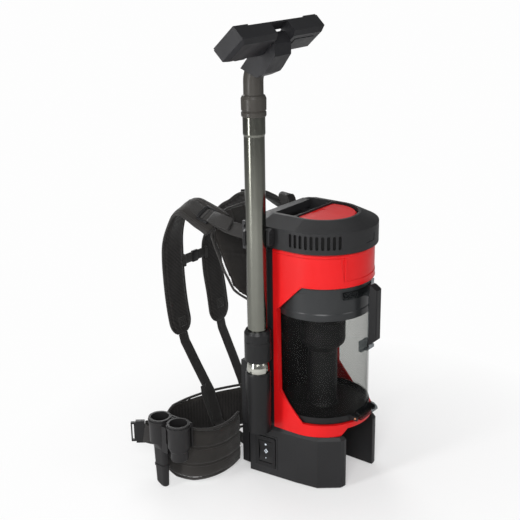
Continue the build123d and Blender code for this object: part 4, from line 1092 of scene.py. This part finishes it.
def wing_pad(name, wing, node):
    line, dist = wing.path.line, wing.path.dist
    stations = [wing.at(s) for s in dist]

    def locate(p):
        """Distance along, offset outwards, bottom z and top z at the nearest station."""
        i = int(np.argmin((line[:, 0] - p.x) ** 2 + (line[:, 1] - p.y) ** 2))
        q, normal, bottom, top = stations[i]
        return dist[i], (p.x - q[0]) * normal[0] + (p.y - q[1]) * normal[1], bottom, top

    def relief(p):
        s, offset, bottom, top = locate(p)
        if offset <= 0:
            inset = min(top - p.z, p.z - bottom)
            return (-0.9 * gauss(inset - WING_LINING_INSET, 1.8)
                    + 0.4 * ripple(p, 0.04, 6.0))
        h = 0.0
        v = (p.z - bottom) / max(1.0, top - bottom)
        for seam in WING_SEAMS:
            above = (v - seam) * (top - bottom)
            h += 0.5 * gauss(above - 7, 5.0) - 1.7 * gauss(above, 2.0)
        h += 0.6 * ripple(p, 0.03, 4.0)
        folds = math.sin(s * 0.16 + 3 * ripple(p, 0.012, 8.0))
        return h + 0.5 * folds * gauss(s - 70, 60.0)

    def is_lining(centre, _):
        _, offset, bottom, top = locate(centre)
        return (offset < 0 and top - centre.z > WING_LINING_INSET
                and centre.z - bottom > WING_LINING_INSET)

    cloth_pad(name, node, wing.surface, 70, 34, voxel=0.0045, relief=relief,
              is_lining=is_lining)


def wing_piping(name, wing):
    """Piping on the rim, and twin stitching beside each seam."""
    mesh = MeshBuilder()
    length = wing.length
    _, _, end_bottom, end_top = wing.at(length)
    rim = [wing.point(s, wing.at(s)[3], 0) for s in np.linspace(0, length, 80)]
    rim += [wing.point(length, z, 0) for z in np.linspace(end_top, end_bottom, 8)[1:-1]]
    rim += [wing.point(s, wing.at(s)[2], 0) for s in np.linspace(length, 0, 80)]
    tube(mesh, rim, 2.6, sides=10)
    for seam in WING_SEAMS:
        for shift in (-3.0, 3.0):
            points, normals = [], []
            for s in np.linspace(3, length - 22, 150):
                _, normal, bottom, top = wing.at(s)
                points.append(wing.point(s, bottom + (top - bottom) * seam + shift, 6.9))
                normals.append((*normal, 0))
            stitch_line(mesh, points, normals, pitch=3.6, length=2.5, material=1)
    mesh.make(name + "_piping", ["binding_tape", "thread"], "root")


WING_LEFT = Wing(
    [(-99, 127), (-128, 121), (-160, 121), (-187, 130), (-206, 149), (-214, 176),
     (-214, 206), (-205, 234)], key=1,
    tops=[(100, 104), (135, 112), (160, 117), (195, 115), (225, 106), (245, 92)],
    bottoms=[(100, 14), (128, 12), (150, 9), (185, 9), (215, 20), (245, 44)], outward=1)
WING_RIGHT = Wing(
    [(99, 127), (84, 146), (52, 170), (8, 200), (-42, 229), (-92, 249), (-136, 257),
     (-168, 256)], key=0,
    tops=[(-175, 90), (-140, 102), (-60, 105.5), (60, 105.5), (110, 104)],
    bottoms=[(-175, 48), (-140, 34), (-80, 20), (0, 10), (60, 10), (110, 12)], outward=-1)
for name, wing, node in (("belt_wing_left", WING_LEFT, "hip_belt_left"),
                         ("belt_wing_right", WING_RIGHT, "hip_belt_right")):
    wing_pad(name, wing, node)
    wing_piping(name, wing)

# belt webbing from each wing's end to the buckle
BELT_BANDS = [
    [(-196, 228, 68), (-206, 239, 70), (-214, 252, 72), (-218.5, 262.5, 74)],
    [(-160, 263.5, 69), (-174, 263, 70), (-190, 265, 71.5), (-206.5, 271.5, 73)]]
mesh = MeshBuilder()
for line in BELT_BANDS:
    band(mesh, line, Z_AXIS, 38, 2.0)
mesh.make("belt_webbing_bands", ["webbing"], "root", ("belt_webbing",))

# ------------------------------------------------------------------ perforated cyclone screen
SCREEN_COLUMNS, SCREEN_ROWS = 66, 15
SCREEN_OUTER, SCREEN_INNER = 42.0, 40.2
SCREEN_BOTTOM, SCREEN_TOP, SCREEN_MARGIN = 262.5, 331.0, 3
HOLE_RADIUS = 1.05
COLLAR_INNER = 39.6
# r, z outlines of the bottom and top collars
SCREEN_COLLARS = [
    [(COLLAR_INNER, 262.0), (SCREEN_OUTER, 262.0), (SCREEN_OUTER, 265.5),
     (COLLAR_INNER, 265.5)],
    [(COLLAR_INNER, 328.0), (SCREEN_OUTER, 328.0), (SCREEN_OUTER, 331.4), (47, 331.8),
     (47, 334.6), (COLLAR_INNER, 334.6)]]


def polar(radius, angle, z):
    return (radius * math.cos(angle), radius * math.sin(angle), z)


def screen_cell(mesh, radius, angle, z, width, height):
    """One cell with an octagonal hole; the outer layer also lines the hole."""
    outer, inner = [], []
    for k in range(8):
        cos, sin = math.cos(math.pi / 4 * k), math.sin(math.pi / 4 * k)
        reach = max(abs(cos), abs(sin))
        outer.append((angle + cos / reach * width / 2, z + sin / reach * height / 2))
        inner.append((angle + cos * HOLE_RADIUS / radius, z + sin * HOLE_RADIUS))
    points = [polar(radius, *q) for q in outer + inner]
    outside = radius == SCREEN_OUTER
    if outside:
        points += [polar(SCREEN_INNER, *q) for q in inner]
    faces = []
    for k in range(8):
        after = (k + 1) % 8
        quad = (k, after, 8 + after, 8 + k)
        faces.append(quad if outside else quad[::-1])
        if outside:
            faces.append((8 + k, 8 + after, 16 + after, 16 + k))
    mesh.add(points, faces)


mesh = MeshBuilder()
cell_width = 2 * math.pi / SCREEN_COLUMNS
cell_height = (SCREEN_TOP - SCREEN_BOTTOM - 2 * SCREEN_MARGIN) / SCREEN_ROWS
for radius in (SCREEN_OUTER, SCREEN_INNER):
    for i in range(SCREEN_COLUMNS):
        for j in range(SCREEN_ROWS):
            screen_cell(mesh, radius, 2 * math.pi * i / SCREEN_COLUMNS + cell_width / 2,
                        SCREEN_BOTTOM + SCREEN_MARGIN + cell_height * j + cell_height / 2,
                        cell_width, cell_height)
for outline in SCREEN_COLLARS:
    mesh.add([polar(r, 2 * math.pi * i / 96, z) for i in range(96) for r, z in outline],
             grid_faces(96, len(outline), True, True))
mesh.make("cyclone_screen_mesh", ["charcoal_plastic"], "dust_bin",
          ("cyclone_screen",), sharp_angle=35)

# ------------------------------------------------------------------ red shell details
# dark liner behind the cooling slots; r, z of its section
LINER_SECTION = [(94.2, 462.2), (94.2, 488.0), (93.6, 488.0), (93.6, 462.2)]
mesh = MeshBuilder()
for side in (-1, 1):
    points = []
    for i in range(25):
        angle = math.radians(170 + 68 * i / 24)
        for r, z in LINER_SECTION:
            points.append((-side * r * math.cos(angle), r * math.sin(angle), z))
    mesh.add(points, capped_faces(25, 4))
mesh.make("vent_liner", ["rubber"], "root", smooth=False)

# rolled lip round the bin opening; y, z of its upright edges
LIP_RADIUS = 92.75
LIP_RIGHT = [
    (-20, 126.4), (-8, 139.6), (4, 153.5), (14, 165), (21, 174), (23.4, 180), (24, 200),
    (24.8, 250), (25.8, 300), (26.5, 335), (26, 346), (22, 351.8), (10, 365), (-4, 378),
    (-18, 391.6)]
LIP_LEFT = [
    (-20, 126.4), (0, 147), (14, 161), (26, 173), (31.5, 179.2), (33.6, 184), (34, 200),
    (35.2, 260), (36.6, 320), (37.1, 335), (36.4, 341), (30, 347.8), (10, 367),
    (-4, 380.6), (-16, 391.6)]
mesh = MeshBuilder()
for side, edge in ((-1, LIP_LEFT), (1, LIP_RIGHT)):
    tube(mesh, [(side * math.sqrt(LIP_RADIUS ** 2 - y * y), y, z)
                for y, z in catmull(edge, 90)], 0.85)
start = math.asin(-18 / LIP_RADIUS)
tube(mesh, [polar(LIP_RADIUS, start + (-math.pi - 2 * start) * t, 391.7)
            for t in np.linspace(0, 1, 70)], 0.75)
mesh.make("opening_lip", ["red_plastic"], "root")

# ------------------------------------------------------------------ nozzle bristles
NOZZLE_YAW, NOZZLE_TILT = math.radians(5.5), math.radians(43.5)
NOZZLE_CENTRE = np.array([-114.0, 22.0, 815.0])
BRISTLE_STATIONS = 260
# the nozzle's own axes: along its width, its depth and its height
level = np.array([-math.sin(NOZZLE_YAW), math.cos(NOZZLE_YAW), 0])
wide = np.array([math.cos(NOZZLE_YAW), math.sin(NOZZLE_YAW), 0])
deep = level * (-math.cos(NOZZLE_TILT)) + Z_AXIS * math.sin(NOZZLE_TILT)
high = level * (-math.sin(NOZZLE_TILT)) - Z_AXIS * math.cos(NOZZLE_TILT)


def on_nozzle(x, depth, height):
    return NOZZLE_CENTRE + wide * x + deep * depth + high * height


rng = np.random.default_rng(7)
mesh = MeshBuilder()
for row in (-15.5, 15.5):
    box(mesh, on_nozzle(0, row, -13.0), (wide, deep, high), (159.4, 3.8, 1.8), 0.5, 1)
    for i in range(BRISTLE_STATIONS):
        x = -78.5 + 157 * i / (BRISTLE_STATIONS - 1)
        for k in range(2):
            depth = row + (k - 0.5) * 1.6 + rng.uniform(-0.3, 0.3)
            root = on_nozzle(x + rng.uniform(-0.2, 0.2), depth, -13.4)
            tip = on_nozzle(x + rng.uniform(-0.9, 0.9), depth + rng.uniform(-0.8, 0.8),
                            -17.8 + rng.uniform(-0.25, 0.25))
            points = []
            for centre, radius in ((root, 0.34), (tip, 0.20)):
                for degrees in (0, 120, 240):
                    angle = math.radians(degrees)
                    points.append(centre + radius * (math.cos(angle) * wide
                                                     + math.sin(angle) * deep))
            mesh.add(points, [(0, 1, 4, 3), (1, 2, 5, 4), (2, 0, 3, 5), (3, 4, 5), (2, 1, 0)])
mesh.make("nozzle_bristles", ["rubber", "black_plastic"], "nozzle_head",
          ("nozzle_brush",), smooth=False)

# ------------------------------------------------------------------ rocker symbols
wall_along = unit(np.array([11.0, -102.0, 0]))
wall_out = unit(np.array([-102.0, -11.0, 0]))
ROCKER_CENTRE = np.array([-105.0, 94.0, 0]) + wall_along * 35.2 + Z_AXIS * 50.0


def on_rocker(across, height, out):
    return ROCKER_CENTRE + wall_along * across + Z_AXIS * height + wall_out * out


def disc(mesh, height, radius, low, high, sides):
    points = []
    for out in (low, high):
        for i in range(sides):
            t = 2 * math.pi * i / sides
            points.append(on_rocker(radius * math.cos(t), height + radius * math.sin(t), out))
    mesh.add(points, grid_faces(2, sides, True)
             + [tuple(range(sides, 2 * sides)), tuple(range(sides))[::-1]])


def diamond_ring(mesh, outer, inner, low, high):
    points = [on_rocker(a * r * 0.85, b * r, out) for out in (low, high)
              for r in (outer, inner) for a, b in ((1, 0), (0, 1), (-1, 0), (0, -1))]
    faces = []
    for i in range(4):
        j = (i + 1) % 4
        faces += [(8 + i, 8 + j, 12 + j, 12 + i), (i, j, 8 + j, 8 + i),
                  (4 + j, 4 + i, 12 + i, 12 + j), (j, i, 4 + i, 4 + j)]
    mesh.add(points, faces)


mesh = MeshBuilder()
disc(mesh, height=14.5, radius=2.0, low=0.2, high=1.25, sides=24)
disc(mesh, height=-14.0, radius=1.6, low=0.2, high=1.25, sides=3)
diamond_ring(mesh, outer=4.8, inner=3.3, low=-0.3, high=0.35)
disc(mesh, height=0, radius=1.0, low=-0.3, high=0.3, sides=16)
mesh.make("rocker_symbols", ["icon_white"], "rocker", smooth=False)

# ------------------------------------------------------------------ set, in metres
WHITE = (1, 1, 1)
BACKDROP_STRENGTH = 0.985
FLOOR_HALF = 60.0


def build_floor():
    """Pale floor that fades to plain white away from the machine."""
    h = FLOOR_HALF
    me = bpy.data.meshes.new("floor")
    me.from_pydata([(-h, -h, 0), (h, -h, 0), (h, h, 0), (-h, h, 0)], [], [(0, 1, 2, 3)])
    ob = bpy.data.objects.new("floor", me)
    bpy.context.scene.collection.objects.link(ob)
    ob.location.z = -0.0006
    sh = material_shader("floor_pale")
    sh.principled({"Base Color": (0.86, 0.86, 0.86), "Roughness": 0.8,
                   "Specular IOR Level": 0.1})
    glow = sh.add("Emission", {"Color": WHITE, "Strength": BACKDROP_STRENGTH}).outputs[0]
    position = sh.add("NewGeometry").outputs["Position"]
    distance = sh.add("VectorMath", {0: position}, operation="LENGTH").outputs["Value"]
    fade = sh.math("MULTIPLY", sh.remap(distance, 0.14, 0.62, to=(0.35, 1)),
                   sh.seen_directly())
    nodes = sh.tree.nodes
    surface = sh.mix_shader(fade, nodes["Principled BSDF"].outputs[0], glow)
    sh.fill(nodes["Material Output"], {"Surface": surface})
    me.materials.append(MATERIALS["floor_pale"])


def build_world():
    """White where seen directly; a dim grey gradient for lighting."""
    world = bpy.data.worlds.new("studio")
    bpy.context.scene.world = world
    world.use_nodes = True
    sh = Shader(world.node_tree)
    z = sh.add("SeparateXYZ", {0: sh.coords("Generated")}).outputs["Z"]
    gradient = sh.add("ValToRGB", {"Fac": z})
    stops = ((0.0, (0.95, 0.95, 0.95, 1)), (0.75, (0.55, 0.555, 0.56, 1)))
    for element, (position, colour) in zip(gradient.color_ramp.elements, stops):
        element.position = position
        element.color = colour
    nodes = sh.tree.nodes
    ambient = nodes["Background"]
    sh.fill(ambient, {"Color": gradient.outputs["Color"], "Strength": 0.27})
    white = sh.add("Background", {"Color": WHITE, "Strength": BACKDROP_STRENGTH})
    surface = sh.mix_shader(sh.seen_directly(), ambient.outputs[0], white.outputs[0])
    sh.fill(nodes["World Output"], {"Surface": surface})


# name, location, target, width, height, power in watts
LIGHTS = (
    ("key", (-1.9, -1.1, 1.5), (0, 0, 0.35), 1.0, 1.4, 46),
    ("front", (0.25, -2.3, 1.2), (0, 0, 0.35), 0.8, 1.2, 13),
    ("top", (0.2, 0.2, 2.6), (0, 0, 0.3), 1.6, 1.6, 13),
    ("rim", (1.2, 1.6, 1.5), (0, 0.1, 0.4), 1.0, 1.0, 18),
    ("strip", (-2.4, 0.8, 0.9), (-0.1, 0.1, 0.45), 0.42, 1.9, 40),
)


def area_light(name, location, target, width, height, power):
    light = bpy.data.lights.new(name, "AREA")
    light.energy = power
    light.shape = "RECTANGLE"
    light.size = width
    light.size_y = height
    ob = bpy.data.objects.new(name, light)
    bpy.context.scene.collection.objects.link(ob)
    ob.location = location
    aim = Vector(target) - Vector(location)
    ob.rotation_euler = aim.to_track_quat("-Z", "Y").to_euler()


def build_camera(azimuth, distance, height, pitch, yaw, roll, lens):
    """Camera circling the z axis from -y; angles in degrees, yaw away from the axis."""
    azimuth, pitch, yaw, roll = (math.radians(q) for q in (azimuth, pitch, yaw, roll))
    camera = bpy.data.cameras.new("cam")
    ob = bpy.data.objects.new("cam", camera)
    bpy.context.scene.collection.objects.link(ob)
    heading = azimuth + yaw
    forward = Vector((-math.sin(heading) * math.cos(pitch),
                      math.cos(heading) * math.cos(pitch), -math.sin(pitch)))
    level = Vector((math.cos(heading), math.sin(heading), 0))
    upright = level.cross(forward)
    right = level * math.cos(roll) + upright * math.sin(roll)
    up = -level * math.sin(roll) + upright * math.cos(roll)
    place = Vector((distance * math.sin(azimuth), -distance * math.cos(azimuth), height))
    camera.sensor_width = 36
    camera.lens = lens
    camera.clip_end = 200
    columns = (right, up, -forward, place)
    ob.matrix_world = Matrix([[c[i] for c in columns] for i in range(3)] + [[0, 0, 0, 1]])
    bpy.context.scene.camera = ob


build_floor()
build_world()
for row in LIGHTS:
    area_light(*row)
build_camera(azimuth=-56, distance=1.6407, height=0.9676, pitch=18.63, yaw=4.0, roll=-0.92,
             lens=66.13961538)
bpy.context.scene.view_settings.view_transform = "Standard"
bpy.context.scene.view_settings.look = "None"
